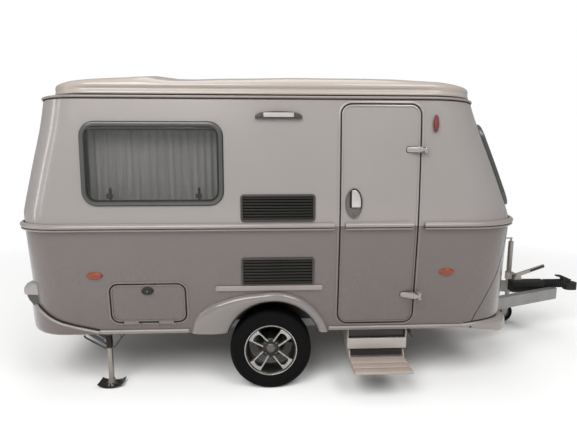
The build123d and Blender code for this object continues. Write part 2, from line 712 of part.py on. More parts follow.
# ---------------------------------------------------------------- jockey wheel
with BuildPart() as jockey_tube:
    with BuildSketch(Plane.XY.offset(GROUND + 380.0)):
        with Locations((JOCKEY_X, JOCKEY_Y)):
            Circle(JOCKEY_TUBE)
            Circle(JOCKEY_INNER + 0.8, mode=Mode.SUBTRACT)
    extrude(amount=420.0)
    with BuildSketch(Plane.XY.offset(GROUND + RAIL_TOP)):
        with Locations((JOCKEY_X, JOCKEY_Y - 62.0)):
            Rectangle(60.0, 90.0)
        with Locations((JOCKEY_X, JOCKEY_Y)):
            Circle(JOCKEY_TUBE + 9)
            Circle(JOCKEY_TUBE, mode=Mode.SUBTRACT)
    extrude(amount=70.0)
    with BuildSketch(Plane.XY.offset(GROUND + 800.0)):
        with Locations((JOCKEY_X, JOCKEY_Y)):
            Circle(JOCKEY_TUBE)
    extrude(amount=20.0)
save(jockey_tube, "jockey_tube")

with BuildPart() as jockey_leg:
    with BuildSketch(Plane.XY.offset(GROUND + 222.0)):
        with Locations((JOCKEY_X, JOCKEY_Y)):
            Circle(JOCKEY_INNER)
    extrude(amount=380.0)
save(jockey_leg, "jockey_leg")

with BuildPart() as jockey_fork:
    with BuildSketch(Plane.XY.offset(GROUND + 208.0)):
        with Locations((JOCKEY_X - JOCKEY_TRAIL / 2, JOCKEY_Y)):
            RectangleRounded(JOCKEY_TRAIL + 50.0, JOCKEY_WHEEL_WIDTH + 22.0, 12.0)
    extrude(amount=13.0)
    for side in (-1, 1):
        start = JOCKEY_Y + side * (JOCKEY_WHEEL_WIDTH / 2 + 8.0) + 3.0
        with BuildSketch(Plane.XZ.offset(-start)):
            with BuildLine():
                Polyline(
                    (JOCKEY_X + 20.0, GROUND + 208.0),
                    (JOCKEY_X - JOCKEY_TRAIL - 22.0, GROUND + 208.0),
                    (JOCKEY_X - JOCKEY_TRAIL - 18.0, GROUND + 85.0),
                    (JOCKEY_X - JOCKEY_TRAIL + 18.0, GROUND + 85.0),
                    (JOCKEY_X + 20.0, GROUND + 208.0),
                )
            make_face()
        extrude(amount=6.0)
save(jockey_fork, "jockey_fork")

with BuildPart() as jockey_wheel:
    with BuildSketch(Plane.XZ.offset(-(JOCKEY_Y + JOCKEY_WHEEL_WIDTH / 2))):
        with Locations((JOCKEY_X - JOCKEY_TRAIL, GROUND + JOCKEY_WHEEL_RADIUS)):
            Circle(JOCKEY_WHEEL_RADIUS)
    extrude(amount=JOCKEY_WHEEL_WIDTH)
    fillet(jockey_wheel.edges().filter_by(GeomType.CIRCLE), 14.0)
save(jockey_wheel, "jockey_wheel")

# ---------------------------------------------------------------- corner steadies
SPINDLE = 220.0
STRUTS = {
    STEADY_REAR_X: ((-150.0, 428.0), (-28.0, 345.0)),
    STEADY_FRONT_X: ((-215.0, 428.0), (-95.0, 395.0)),
}
with BuildPart() as steady_brackets:
    for x, reach in ((STEADY_REAR_X, STEADY_REAR_Y), (STEADY_FRONT_X, STEADY_FRONT_Y)):
        for side in (-1, 1):
            for cheek in (-1, 1):
                centre_y = side * reach + cheek * (LEG_WIDTH / 2 + RUN + 2.5)
                with Locations((AXLE_X + x, centre_y, GROUND + (STEADY_PIN + RAIL_TOP - 15.0) / 2)):
                    Box(70.0, 5.0, RAIL_TOP - STEADY_PIN + 15.0)
            with Locations((AXLE_X + x, side * reach, GROUND + RAIL_TOP - 2.5)):
                Box(90.0, 120.0, 5.0)
            for cheek in (-1, 1):
                near = side * reach + cheek * (LEG_WIDTH / 2 + RUN + 2.5)
                top, foot = STRUTS[x]
                with BuildSketch(Plane.XZ.offset(-near - 2.5)):
                    with BuildLine():
                        Polyline(
                            (AXLE_X + x + top[0], GROUND + top[1] + 15.0),
                            (AXLE_X + x + top[0], GROUND + top[1] - 15.0),
                            (AXLE_X + x + foot[0], GROUND + foot[1] - 12.0),
                            (AXLE_X + x + foot[0], GROUND + foot[1] + 12.0),
                            (AXLE_X + x + top[0], GROUND + top[1] + 15.0),
                        )
                    make_face()
                extrude(amount=5.0)
            with Locations((AXLE_X + x + STRUTS[x][0][0], side * reach, GROUND + STRUTS[x][0][1])):
                Box(24.0, LEG_WIDTH + 2 * RUN + 10.0, 24.0)
            with BuildSketch(Plane.YZ.offset(AXLE_X + x - 30.0)):
                with Locations((side * reach, GROUND + STRUTS[x][0][1])):
                    Circle(8.0)
            extrude(amount=-SPINDLE)
save(steady_brackets, "steady_brackets")

FOOT_RADIUS = 60.0
FOOT_HEIGHT = 28.0
LEG_HEAD = 10.0
STEADIES = [
    ("steady_rear_right", STEADY_REAR_X, -STEADY_REAR_Y, 0.0),
    ("steady_rear_left", STEADY_REAR_X, STEADY_REAR_Y, 0.0),
    ("steady_front_right", STEADY_FRONT_X, -STEADY_FRONT_Y, STEADY_FOLD),
    ("steady_front_left", STEADY_FRONT_X, STEADY_FRONT_Y, STEADY_FOLD),
]
for name, x, y, fold in STEADIES:
    along = Vector(0, 0, 1).rotate(Axis.Y, fold)
    across = Vector(1, 0, 0).rotate(Axis.Y, fold)
    leg_plane = Plane(origin=(AXLE_X + x, y, GROUND + STEADY_PIN), x_dir=across, z_dir=along)
    with BuildPart() as steady:
        with BuildSketch(leg_plane.offset(-STEADY_PIN + FOOT_HEIGHT / 2)):
            Rectangle(LEG_WIDTH - 6, LEG_WIDTH - 4)
        extrude(amount=STEADY_PIN - FOOT_HEIGHT / 2 + LEG_HEAD)
        with BuildSketch(leg_plane.offset(-STEADY_PIN)):
            Circle(FOOT_RADIUS)
        extrude(amount=FOOT_HEIGHT, taper=30.0)
    save(steady, name)

# ---------------------------------------------------------------- entry step
STEP_MIDDLE = (STEP_LOW + STEP_HIGH) / 2
with BuildPart() as step_frame:
    with BuildSketch(Plane.XZ.offset(STEP_FACE - 15.0)):
        with Locations((AXLE_X + STEP_MIDDLE, GROUND + (STEP_FASCIA_LOW + STEP_FASCIA_HIGH) / 2)):
            RectangleRounded(STEP_HIGH - STEP_LOW, STEP_FASCIA_HIGH - STEP_FASCIA_LOW, 6.0)
    extrude(amount=15.0)
    for x in (STEP_LOW + 4, STEP_HIGH - 4):
        add(block_between(
            (AXLE_X + x - 3.0, -STEP_FACE, GROUND + STEP_FASCIA_LOW + 12.0),
            (AXLE_X + x + 3.0, -(RAIL_HALF + RAIL_WIDTH / 2), GROUND + RAIL_TOP),
        ))
save(step_frame, "step_frame")

with BuildPart() as step_tread:
    with Locations((AXLE_X + STEP_MIDDLE, -STEP_FACE - 105.0, GROUND + STEP_TREAD_TOP - STEP_TREAD_THICK / 2)):
        Box(STEP_HIGH - STEP_LOW - 30, 230.0, STEP_TREAD_THICK)
    for x in (STEP_LOW + 18, STEP_HIGH - 18):
        add(block_between(
            (AXLE_X + x - 3.0, -STEP_FACE - 20.0, GROUND + STEP_TREAD_TOP - STEP_TREAD_THICK / 2),
            (AXLE_X + x + 3.0, -STEP_FACE + 260.0, GROUND + STEP_ARM_TOP),
        ))
save(step_tread, "step_tread")

# ---------------------------------------------------------------- rear bumper and lamps
POD_PROUD = 7.0
POD_REACH = SILL.rear + POD_PROUD
POD_TAPER = 40.0
POD = Opening(620.0, 850.0, 590.0, 795.0, 60.0)
BUMPER_TOP = POD.bottom - 2.0
BUMPER_SEAM = ((-1165.0, SILL.height), (-1330.0, 478.0), (-1480.0, 520.0), (-1560.0, BUMPER_TOP))
with BuildPart() as rear_bumper:
    add(skin(LOWER, 22.0, 0.3))
    with BuildSketch(Plane.XZ.offset(-FAR), mode=Mode.PRIVATE) as zone:
        with BuildLine():
            outline = BUMPER_SEAM + ((-FAR, BUMPER_TOP), (-FAR, SILL.height), BUMPER_SEAM[0])
            Polyline([(AXLE_X + x, GROUND + z) for x, z in outline])
        make_face()
    add(extrude(zone.sketch, amount=2 * FAR, mode=Mode.PRIVATE), mode=Mode.INTERSECT)
save(rear_bumper, "rear_bumper")

with BuildPart() as tail_lamps:
    for side in (-1, 1):
        centre = (side * (POD.low + POD.high) / 2, GROUND + (POD.bottom + POD.top) / 2)
        for amount, lean in ((-POD_TAPER, 25.0), (220.0, 0.0)):
            with BuildSketch(Plane.YZ.offset(AXLE_X - POD_REACH + POD_TAPER)):
                with Locations(centre):
                    RectangleRounded(POD.high - POD.low, POD.top - POD.bottom, POD.corner)
            extrude(amount=amount, taper=lean)
    add(body_solid(LOWER), mode=Mode.SUBTRACT)
save(tail_lamps, "tail_lamps")

with BuildPart() as tail_lenses:
    for side in (-1, 1):
        with BuildSketch(Plane.YZ.offset(AXLE_X - POD_REACH)):
            with Locations((side * (POD.low + POD.high) / 2, GROUND + (POD.bottom + POD.top) / 2)):
                RectangleRounded(POD.high - POD.low - 60.0, POD.top - POD.bottom - 60.0, 34.0)
        extrude(amount=-8.0)
save(tail_lenses, "tail_lenses")

# ---------------------------------------------------------------- side lamps and trims
AMBER_REAR = Opening(-1217.0, -1118.0, 838.0, 892.0, 25.0)
AMBER_FRONT = Opening(1159.0, 1268.0, 836.0, 890.0, 25.0)
RED_LAMP = Opening(1060.0, 1110.0, 1804.0, 1924.0, 23.0)
AWNING_LIGHT = Opening(-91.0, 210.0, 1893.0, 1938.0, 20.0)
with BuildPart() as marker_lamps:
    for side in (-1, 1):
        for lamp, levels, proud in ((AMBER_REAR, LOWER, 16.0), (AMBER_FRONT, LOWER, 16.0), (RED_LAMP, UPPER, 24.0)):
            with BuildPart(mode=Mode.PRIVATE) as marker:
                add(skin(levels, proud, 0.1))
                add(side_prism(lamp, 0.0, side), mode=Mode.INTERSECT)
            add(marker.part)
save(marker_lamps, "marker_lamps")

with BuildPart() as awning_light:
    add(skin(UPPER, 34.0, 0.1))
    add(side_prism(AWNING_LIGHT), mode=Mode.INTERSECT)
save(awning_light, "awning_light")

ARCH_RAIL = Opening(-362.0, 349.0, 761.0, 779.0, 7.0)
FRONT_TRIM = [(1130.0, 445.0), (1290.0, 462.0), (1420.0, 486.0), (1700.0, 520.0), (2200.0, 520.0), (2200.0, 445.0)]
with BuildPart() as side_trims:
    for side in (-1, 1):
        with BuildPart(mode=Mode.PRIVATE) as bead:
            add(skin(LOWER, 12.0, 0.1))
            add(side_prism(ARCH_RAIL, 0.0, side), mode=Mode.INTERSECT)
        add(bead.part)
    with BuildSketch(Plane.XZ.offset(-FAR), mode=Mode.PRIVATE) as trim_zone:
        with BuildLine():
            Polyline([(AXLE_X + x, GROUND + z) for x, z in FRONT_TRIM + FRONT_TRIM[:1]])
        make_face()
    with BuildPart(mode=Mode.PRIVATE) as wrap:
        add(skin(LOWER, 20.0, 0.2))
        add(extrude(trim_zone.sketch, amount=2 * FAR, mode=Mode.PRIVATE), mode=Mode.INTERSECT)
        add(skin(sill_levels, SILL_PROUD + 0.5, -1.0), mode=Mode.SUBTRACT)
    add(wrap.part)
save(side_trims, "side_trims")

# ---------------------------------------------------------------- drums, handbrake and jockey crank
with BuildPart() as brake_drums:
    for side in (-1, 1):
        with BuildSketch(Plane.XZ.offset(-side * (DRUM_BACK + DRUM_WIDTH))):
            with Locations((AXLE_X, GROUND + TYRE_RADIUS)):
                Circle(110.0)
        extrude(amount=side * DRUM_WIDTH)
save(brake_drums, "brake_drums")

LEVER_X = -500.0
with BuildPart() as handbrake:
    with BuildSketch(Plane.XZ.offset(-9.0)):
        with BuildLine():
            Polyline(
                (LEVER_X - 30.0, 77.0),
                (LEVER_X + 40.0, 77.0),
                (LEVER_X + 30.0, 120.0),
                (LEVER_X + 250.0, 196.0),
                (LEVER_X + 242.0, 222.0),
                (LEVER_X - 10.0, 140.0),
                (LEVER_X - 30.0, 77.0),
            )
        make_face()
    extrude(amount=18.0)
save(handbrake, "handbrake")

CRANK_TOP = 820.0
with BuildPart() as jockey_crank:
    with BuildSketch(Plane.XY.offset(GROUND + CRANK_TOP)):
        with Locations((JOCKEY_X, JOCKEY_Y)):
            Circle(9.0)
    extrude(amount=38.0)
    with BuildSketch(Plane.XY.offset(GROUND + CRANK_TOP + 26.0)):
        with Locations((JOCKEY_X - 50.0, JOCKEY_Y)):
            Rectangle(118.0, 14.0)
    extrude(amount=12.0)
    with BuildSketch(Plane.XY.offset(GROUND + CRANK_TOP + 38.0)):
        with Locations((JOCKEY_X - 98.0, JOCKEY_Y)):
            Circle(11.0)
    extrude(amount=78.0)
save(jockey_crank, "jockey_crank")
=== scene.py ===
"""Dresses the travel caravan: bodywork, openings, running gear, roof, fittings and cabin."""

import json
import logging
import math
import random
from dataclasses import dataclass
from enum import Enum
from typing import Callable, Sequence

import bpy
from mathutils import Euler, Matrix, Vector

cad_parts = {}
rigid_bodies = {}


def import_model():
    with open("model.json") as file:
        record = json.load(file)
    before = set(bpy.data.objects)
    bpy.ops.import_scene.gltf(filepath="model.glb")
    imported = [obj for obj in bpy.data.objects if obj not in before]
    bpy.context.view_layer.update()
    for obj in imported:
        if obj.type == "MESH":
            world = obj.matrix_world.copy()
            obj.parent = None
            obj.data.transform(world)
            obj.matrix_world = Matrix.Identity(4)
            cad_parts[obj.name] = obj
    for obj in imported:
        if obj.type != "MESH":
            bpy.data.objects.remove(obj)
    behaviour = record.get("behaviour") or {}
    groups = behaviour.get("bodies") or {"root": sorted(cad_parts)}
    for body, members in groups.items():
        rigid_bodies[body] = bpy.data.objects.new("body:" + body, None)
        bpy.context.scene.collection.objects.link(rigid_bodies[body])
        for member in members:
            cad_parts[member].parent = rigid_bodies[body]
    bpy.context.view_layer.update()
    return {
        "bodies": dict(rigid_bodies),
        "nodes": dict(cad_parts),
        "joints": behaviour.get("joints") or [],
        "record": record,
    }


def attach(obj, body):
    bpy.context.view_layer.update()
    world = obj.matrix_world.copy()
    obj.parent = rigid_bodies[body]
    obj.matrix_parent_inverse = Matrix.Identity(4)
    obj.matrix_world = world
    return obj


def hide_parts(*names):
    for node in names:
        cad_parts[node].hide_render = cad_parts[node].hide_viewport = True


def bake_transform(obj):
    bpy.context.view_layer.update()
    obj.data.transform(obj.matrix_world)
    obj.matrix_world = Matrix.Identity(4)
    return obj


LOG = logging.getLogger("caravan")
AXLE_X = -2.8
GROUND_Z = -0.43
BELT_Z = 1.191
SLAB_BACK = -0.028
MERGE = 0.00002
SMOOTH = 40.0

Point = tuple[float, float]
Place = tuple[float, float, float]
Colour = tuple[float, float, float]


class Side(Enum):
    """The side walls, with the sign of their y."""

    RIGHT = -1
    LEFT = 1


class End(Enum):
    """The end walls, with the sign of their x."""

    REAR = -1
    FRONT = 1


# ---------------------------------------------------------------- shader wiring


class Wire:
    """A value socket whose arithmetic adds Math nodes."""

    def __init__(self, board: "Board", socket: bpy.types.NodeSocket) -> None:
        """Keeps the board and the socket."""
        self.board = board
        self.socket = socket

    def _math(self, operation: str, first: "Wire | float", second: "Wire | float") -> "Wire":
        """Adds one Math node.

        Args:
            operation: the node's operation.
            first: its first value or link.
            second: its second value or link.

        Returns:
            The node's value.
        """
        return self.board.add("ShaderNodeMath", {"operation": operation}, {0: first, 1: second})

    def __add__(self, other: "Wire | float") -> "Wire":
        """Sum."""
        return self._math("ADD", self, other)

    __radd__ = __add__

    def __mul__(self, other: "Wire | float") -> "Wire":
        """Product."""
        return self._math("MULTIPLY", self, other)

    __rmul__ = __mul__

    def __sub__(self, other: "Wire | float") -> "Wire":
        """Difference."""
        return self._math("SUBTRACT", self, other)

    def __rsub__(self, other: "Wire | float") -> "Wire":
        """Difference the other way round."""
        return self._math("SUBTRACT", other, self)

    def fold(self, period: float) -> "Wire":
        """Zigzag between nought and the period."""
        return self._math("PINGPONG", self, period)


class Board:
    """The node tree of one material."""

    def __init__(self, name: str) -> None:
        """Makes the material and empties its tree.

        Args:
            name: the material's name.
        """
        self.material = bpy.data.materials.new(name)
        self.material.use_nodes = True
        self.tree = self.material.node_tree
        self.tree.nodes.clear()

    def add(
        self,
        kind: str,
        settings: dict[str, object] | None = None,
        values: dict[int | str, object] | None = None,
        output: int | str = 0,
    ) -> Wire:
        """Adds any node.

        Args:
            kind: the node's type.
            settings: properties set before its sockets; "stops" fills a ramp.
            values: socket values or links by name or number.
            output: the output to hand back.

        Returns:
            That output as a wire.
        """
        node = self.tree.nodes.new(kind)
        for key, value in (settings or {}).items():
            if key == "stops":
                self._fill_ramp(node, value)
            else:
                setattr(node, key, value)
        for key, value in (values or {}).items():
            if isinstance(value, Wire):
                self.tree.links.new(value.socket, node.inputs[key])
            else:
                node.inputs[key].default_value = value
        return Wire(self, node.outputs[output] if len(node.outputs) else None)

    @staticmethod
    def _fill_ramp(node: bpy.types.Node, stops: Sequence[tuple[float, float]]) -> None:
        """Sets a ramp's stops as grey levels."""
        elements = node.color_ramp.elements
        while len(elements) < len(stops):
            elements.new(0.5)
        for element, (place, level) in zip(elements, stops):
            element.position = place
            element.color = (level, level, level, 1.0)

    def place(self) -> Wire:
        """Object coordinates."""
        return self.add("ShaderNodeTexCoord", output="Object")

    def axis(self, letter: str) -> Wire:
        """One object coordinate."""
        return self.add("ShaderNodeSeparateXYZ", values={0: self.place()}, output=letter)

    def noise(
        self, scale: float, detail: float = 4.0, stretch: Place = (1, 1, 1), rough: float = 0.55,
    ) -> Wire:
        """Noise on object coordinates, stretched along the axes."""
        spread = self.add("ShaderNodeMapping", values={"Vector": self.place(), "Scale": stretch})
        values = {"Vector": spread, "Scale": scale, "Detail": detail, "Roughness": rough}
        return self.add("ShaderNodeTexNoise", values=values)

    def ramp(self, value: Wire, *stops: tuple[float, float]) -> Wire:
        """A value sent through a ramp of grey stops."""
        return self.add("ShaderNodeValToRGB", {"stops": stops}, {0: value})

    def blend(self, factor: Wire | float, first: Wire | Colour, second: Wire | Colour) -> Wire:
        """Mixes two colours.

        Args:
            factor: share of the second colour.
            first: colour at nought.
            second: colour at one.

        Returns:
            The mixed colour.
        """
        one, two = [c if isinstance(c, Wire) else (*c, 1.0) for c in (first, second)]
        return self.add("ShaderNodeMix", {"data_type": "RGBA"}, {0: factor, 6: one, 7: two}, output=2)

    def bump(self, height: Wire, depth: float, under: Wire | None = None) -> Wire:
        """A bumped normal.

        Args:
            height: the relief.
            depth: its depth in metres.
            under: a normal that it adds to.

        Returns:
            The normal.
        """
        values: dict[int | str, object] = {"Height": height, "Distance": depth, "Strength": 1.0}
        if under:
            values["Normal"] = under
        return self.add("ShaderNodeBump", values=values)

    def close(self, values: dict[str, object]) -> bpy.types.Material:
        """Ends the tree in a Principled shader.

        Args:
            values: its sockets' values or links.

        Returns:
            The material.
        """
        shader = self.add("ShaderNodeBsdfPrincipled", values=values)
        self.add("ShaderNodeOutputMaterial", values={"Surface": shader})
        return self.material


# ---------------------------------------------------------------- finishes


@dataclass(frozen=True)
class Finish:
    """A surface: its colours, sheen, relief and a darker film towards the ground."""

    name: str
    colour: Colour
    second: Colour
    rough: float = 0.4
    rough_spread: float = 0.1
    metallic: float = 0.0
    coat: float = 0.0
    grain: float = 40.0
    grain_depth: float = 0.0
    stretch: Place = (1, 1, 1)
    cloud: float = 3.0
    low_darkening: float = 0.0
    low_darkening_top: float = 0.5
    low_darkening_colour: Colour = (0.14, 0.12, 0.1)
    flake: float = 0.0
    alpha: float = 1.0
    specular: float = 0.5

    def make(self) -> bpy.types.Material:
        """Builds the material: clouded colour, fine grain, and a darker, rougher film that thins out with
        height.
        """
        board = Board(self.name)
        cloud = board.ramp(board.noise(self.cloud, 3.0), (0.3, 0.0), (0.7, 1.0))
        grain = board.noise(self.grain, 5.0, self.stretch)
        colour = board.blend(cloud * 0.55 + grain * 0.45, self.colour, self.second)
        rough = (grain - 0.5) * (2 * self.rough_spread) + self.rough
        if self.flake:
            fleck = board.ramp(board.noise(2600.0, 1.0), (0.52, 0.0), (0.66, 1.0))
            lifted = tuple(min(1.0, c * 1.6) for c in self.second)
            colour = board.blend(fleck * self.flake, colour, lifted)
        # Darker and rougher towards the ground, by the given strength and reach.
        if self.low_darkening:
            height = board.axis("Z")
            reach = board.ramp((height - GROUND_Z) * (1.0 / self.low_darkening_top), (0.1, 1.0), (1.0, 0.0))
            spots = board.ramp(board.noise(9.0, 6.0, (1, 1, 0.5)), (0.42, 0.0), (0.68, 1.0))
            film = reach * (spots * 0.7 + 0.3) * self.low_darkening
            colour = board.blend(film, colour, self.low_darkening_colour)
            rough = rough + film * 0.35
        values: dict[str, object] = {
            "Base Color": colour,
            "Roughness": rough,
            "Metallic": self.metallic,
            "Coat Weight": self.coat,
            "Coat Roughness": 0.06,
            "Specular IOR Level": self.specular,
            "Alpha": self.alpha,
        }
        if self.grain_depth:
            values["Normal"] = board.bump(grain, self.grain_depth)
        return board.close(values)


@dataclass(frozen=True)
class Cloth(Finish):
    """Woven fabric: crossed threads over a clouded colour."""

    thread: float = 900.0

    def make(self) -> bpy.types.Material:
        """Builds the weave from two wave directions in object space."""
        board = Board(self.name)
        cloud = board.noise(self.cloud, 4.0)
        warp = board.add(
            "ShaderNodeTexWave", {"bands_direction": "X"}, {"Vector": board.place(), "Scale": self.thread},
        )
        weft = board.add(
            "ShaderNodeTexWave", {"bands_direction": "Z"}, {"Vector": board.place(), "Scale": self.thread},
        )
        weave = warp * 0.5 + weft * 0.5
        colour = board.blend(cloud * 0.6 + weave * 0.4, self.colour, self.second)
        values: dict[str, object] = {
            "Base Color": colour,
            "Roughness": (cloud - 0.5) * self.rough_spread + self.rough,
            "Sheen Weight": 0.25,
            "Alpha": self.alpha,
            "Normal": board.bump(weave, 0.0003),
        }
        return board.close(values)


@dataclass(frozen=True)
class Lens(Finish):
    """Moulded lamp lens: clear colour with fine prism ribs."""

    rib: float = 260.0
    rib_axis: str = "Z"

    def make(self) -> bpy.types.Material:
        """Builds the ribbed plastic."""
        board = Board(self.name)
        rib = (board.axis(self.rib_axis) * self.rib).fold(0.5)
        cross = (board.axis("X") * self.rib * 0.7).fold(0.5)
        tint = board.blend(rib * 1.2, self.colour, self.second)
        values: dict[str, object] = {
            "Base Color": tint,
            "Roughness": board.noise(60.0) * 0.08 + self.rough,
            "Coat Weight": self.coat,
            "Coat Roughness": 0.04,
            "Alpha": self.alpha,
            "Normal": board.bump(rib + cross * 0.6, 0.0012),
        }
        return board.close(values)


@dataclass(frozen=True)
class Pane(Finish):
    """Tinted acrylic that shows what is behind it."""

    def make(self) -> bpy.types.Material:
        """Builds the tint with a slight cloud and fine wiping marks."""
        board = Board(self.name)
        haze = board.noise(2.2, 3.0)
        wipe = board.noise(14.0, 6.0, (1.0, 1.0, 5.0))
        values: dict[str, object] = {
            "Base Color": board.blend(haze, self.colour, self.second),
            "Roughness": wipe * self.rough_spread + self.rough,
            "Alpha": haze * 0.06 + self.alpha,
            "Specular IOR Level": 0.55,
            "Normal": board.bump(board.noise(3.5, 2.0), 0.0016),
        }
        return board.close(values)


@dataclass(frozen=True)
class Rubber(Finish):
    """Tyre compound: moulded rings on the sidewall and dust in the tread."""

    wheel: Place = (AXLE_X, 0.0, GROUND_Z + 0.29)

    def make(self) -> bpy.types.Material:
        """Builds the compound with fine rings round the wheel centre."""
        board = Board(self.name)
        centre = board.add(
            "ShaderNodeCombineXYZ",
            values={0: board.axis("X") - self.wheel[0], 2: board.axis("Z") - self.wheel[2]},
        )
        radius = board.add("ShaderNodeVectorMath", {"operation": "LENGTH"}, {0: centre}, output="Value")
        rings = (radius * 220.0).fold(0.5)
        dust = board.ramp(board.noise(22.0, 6.0), (0.4, 0.0), (0.75, 1.0))
        colour = board.blend(dust * 0.5, self.colour, self.second)
        values: dict[str, object] = {
            "Base Color": colour,
            "Roughness": dust * 0.15 + self.rough,
            "Specular IOR Level": self.specular,
            "Normal": board.bump(rings * 0.35 + board.noise(300.0) * 0.4, 0.0006),
        }
        return board.close(values)


@dataclass(frozen=True)
class Paint:
    """Every finish, by the piece that wears it."""

    upper: Finish = Finish(
        "upper_paint", (0.33, 0.304, 0.294), (0.358, 0.332, 0.322), 0.24, 0.04, 0.2, 0.6, 300.0, 0.0,
        low_darkening=0.12, low_darkening_top=1.4, flake=0.22, cloud=1.4,
    )
    # The body paint again, made much darker: painted shade for the walls, door half, lids and valance below
    # the belt, which lean towards the floor.
    lower: Finish = Finish(
        "lower_paint", (0.138, 0.116, 0.109), (0.155, 0.132, 0.125), 0.26, 0.05, 0.2, 0.5, 300.0, 0.0,
        low_darkening=0.38, low_darkening_top=1.0, flake=0.22, cloud=1.6, low_darkening_colour=(0.1, 0.085, 0.076),
    )
    roof: Finish = Finish(
        "roof_laminate", (0.4, 0.35, 0.31), (0.425, 0.375, 0.335), 0.26, 0.03, 0.0, 0.5, 5.0, 0.0, cloud=1.2,
    )
    roof_rim: Finish = Finish(
        "roof_flange", (0.235, 0.208, 0.193), (0.26, 0.232, 0.216), 0.32, 0.06, 0.0, 0.3, 50.0, 0.0001,
    )
    rail: Finish = Finish(
        "painted_rail", (0.278, 0.248, 0.23), (0.312, 0.281, 0.262), 0.3, 0.06, 0.1, 0.3, 180.0, 0.00004,
        (0.06, 0.06, 1.0), low_darkening=0.15, low_darkening_top=1.2,
    )
    frame: Finish = Finish(
        "opening_frame", (0.33, 0.304, 0.294), (0.365, 0.338, 0.328), 0.3, 0.06, 0.2, 0.3, 120.0, 0.00003,
        low_darkening=0.1, low_darkening_top=1.0,
    )
    # The opening frame again, made darker: painted shade for the frames and hinges below the belt.
    frame_painted_shade: Finish = Finish(
        "lower_opening_frame", (0.18, 0.156, 0.146), (0.205, 0.18, 0.17), 0.3, 0.06, 0.2, 0.3, 120.0, 0.00003,
        low_darkening=0.2, low_darkening_top=0.9,
    )
    arch: Finish = Finish(
        "arch_moulding", (0.215, 0.195, 0.183), (0.232, 0.212, 0.2), 0.24, 0.04, 0.1, 0.6, 8.0, 0.0,
        low_darkening=0.12, low_darkening_top=0.7,
    )
    rubber: Finish = Finish(
        "seal_rubber", (0.008, 0.008, 0.008), (0.018, 0.018, 0.017), 0.62, 0.12, 0.0, 0.0, 90.0, 0.0002,
        specular=0.3,
    )
    black: Finish = Finish(
        "black_moulding", (0.01, 0.009, 0.009), (0.02, 0.019, 0.018), 0.45, 0.1, 0.0, 0.1, 260.0, 0.00012,
        specular=0.35,
    )
    window: Finish = Finish(
        "window_band", (0.056, 0.059, 0.055), (0.084, 0.088, 0.081), 0.24, 0.06, 0.0, 0.4, 160.0, 0.00004,
    )
    vent: Finish = Finish(
        "vent_moulding", (0.036, 0.03, 0.026), (0.052, 0.044, 0.038), 0.42, 0.08, 0.0, 0.1, 240.0, 0.00008,
    )
    slat: Finish = Finish(
        "vent_slat", (0.006, 0.0055, 0.0045), (0.013, 0.0115, 0.01), 0.46, 0.08, 0.0, 0.0, 240.0, 0.00008,
        specular=0.35,
    )
    pane: Finish = Pane("tinted_acrylic", (0.045, 0.047, 0.046), (0.065, 0.067, 0.066), 0.05, 0.04, alpha=0.3)
    front_pane: Finish = Pane(
        "front_acrylic", (0.006, 0.007, 0.008), (0.012, 0.013, 0.014), 0.05, 0.04, alpha=0.86,
    )
    alloy: Finish = Finish(
        "machined_alloy", (0.42, 0.4, 0.38), (0.56, 0.54, 0.51), 0.26, 0.08, 0.85, 0.3, 140.0, 0.00005,
    )
    hub: Finish = Finish(
        "hub_cap_paint", (0.105, 0.088, 0.078), (0.155, 0.134, 0.12), 0.34, 0.06, 0.3, 0.3, 140.0, 0.00005,
    )
    rim_black: Finish = Finish(
        "rim_black", (0.007, 0.007, 0.007), (0.014, 0.013, 0.012), 0.35, 0.1, 0.0, 0.3, 120.0, 0.00006,
    )
    tyre: Finish = Rubber(
        "tyre_compound", (0.0035, 0.0035, 0.0035), (0.01, 0.0095, 0.009), 0.78, specular=0.12,
    )
    zinc: Finish = Finish(
        "zinc_plate", (0.36, 0.33, 0.3), (0.5, 0.465, 0.43), 0.38, 0.12, 0.85, 0.0, 26.0, 0.0002, low_darkening=0.3,
        low_darkening_top=0.45,
    )
    strut: Finish = Finish(
        "steady_link_paint", (0.055, 0.062, 0.08), (0.085, 0.092, 0.11), 0.42, 0.1, 0.4, 0.1, 60.0, 0.0001,
        low_darkening=0.3, low_darkening_top=0.6,
    )
    galvanised: Finish = Finish(
        "galvanised_steel", (0.3, 0.3, 0.295), (0.44, 0.44, 0.43), 0.5, 0.14, 0.85, 0.0, 16.0, 0.0002,
        low_darkening=0.3, low_darkening_top=0.6,
    )
    cast: Finish = Finish(
        "cast_black", (0.008, 0.008, 0.0075), (0.018, 0.017, 0.016), 0.55, 0.1, 0.3, 0.0, 120.0, 0.0005,
        low_darkening=0.3,
    )
    step: Finish = Finish(
        "step_aluminium", (0.42, 0.38, 0.35), (0.51, 0.468, 0.436), 0.42, 0.1, 0.3, 0.0, 90.0, 0.0001,
        (0.1, 1, 1), low_darkening=0.15, low_darkening_top=0.3,
    )
    plank: Finish = Finish(
        "step_planks", (0.4, 0.325, 0.285), (0.5, 0.42, 0.37), 0.5, 0.1, 0.1, 0.0, 90.0, 0.0001, (0.1, 1, 1),
        low_darkening=0.15, low_darkening_top=0.2,
    )
    amber: Finish = Lens("amber_lens", (0.2, 0.024, 0.002), (0.36, 0.06, 0.006), 0.16, coat=0.6)
    red: Finish = Lens("red_lens", (0.1, 0.002, 0.003), (0.21, 0.005, 0.007), 0.24, coat=0.2)
    clear: Finish = Lens("clear_lens", (0.36, 0.34, 0.33), (0.5, 0.48, 0.47), 0.16, coat=0.4)
    smoke: Finish = Lens(
        "smoked_lens", (0.035, 0.033, 0.034), (0.12, 0.112, 0.115), 0.18, coat=0.5, rib=130.0,
    )
    lamp_base: Finish = Finish(
        "lamp_base", (0.14, 0.12, 0.11), (0.19, 0.17, 0.158), 0.36, 0.06, 0.0, 0.2, 120.0, 0.00004,
    )
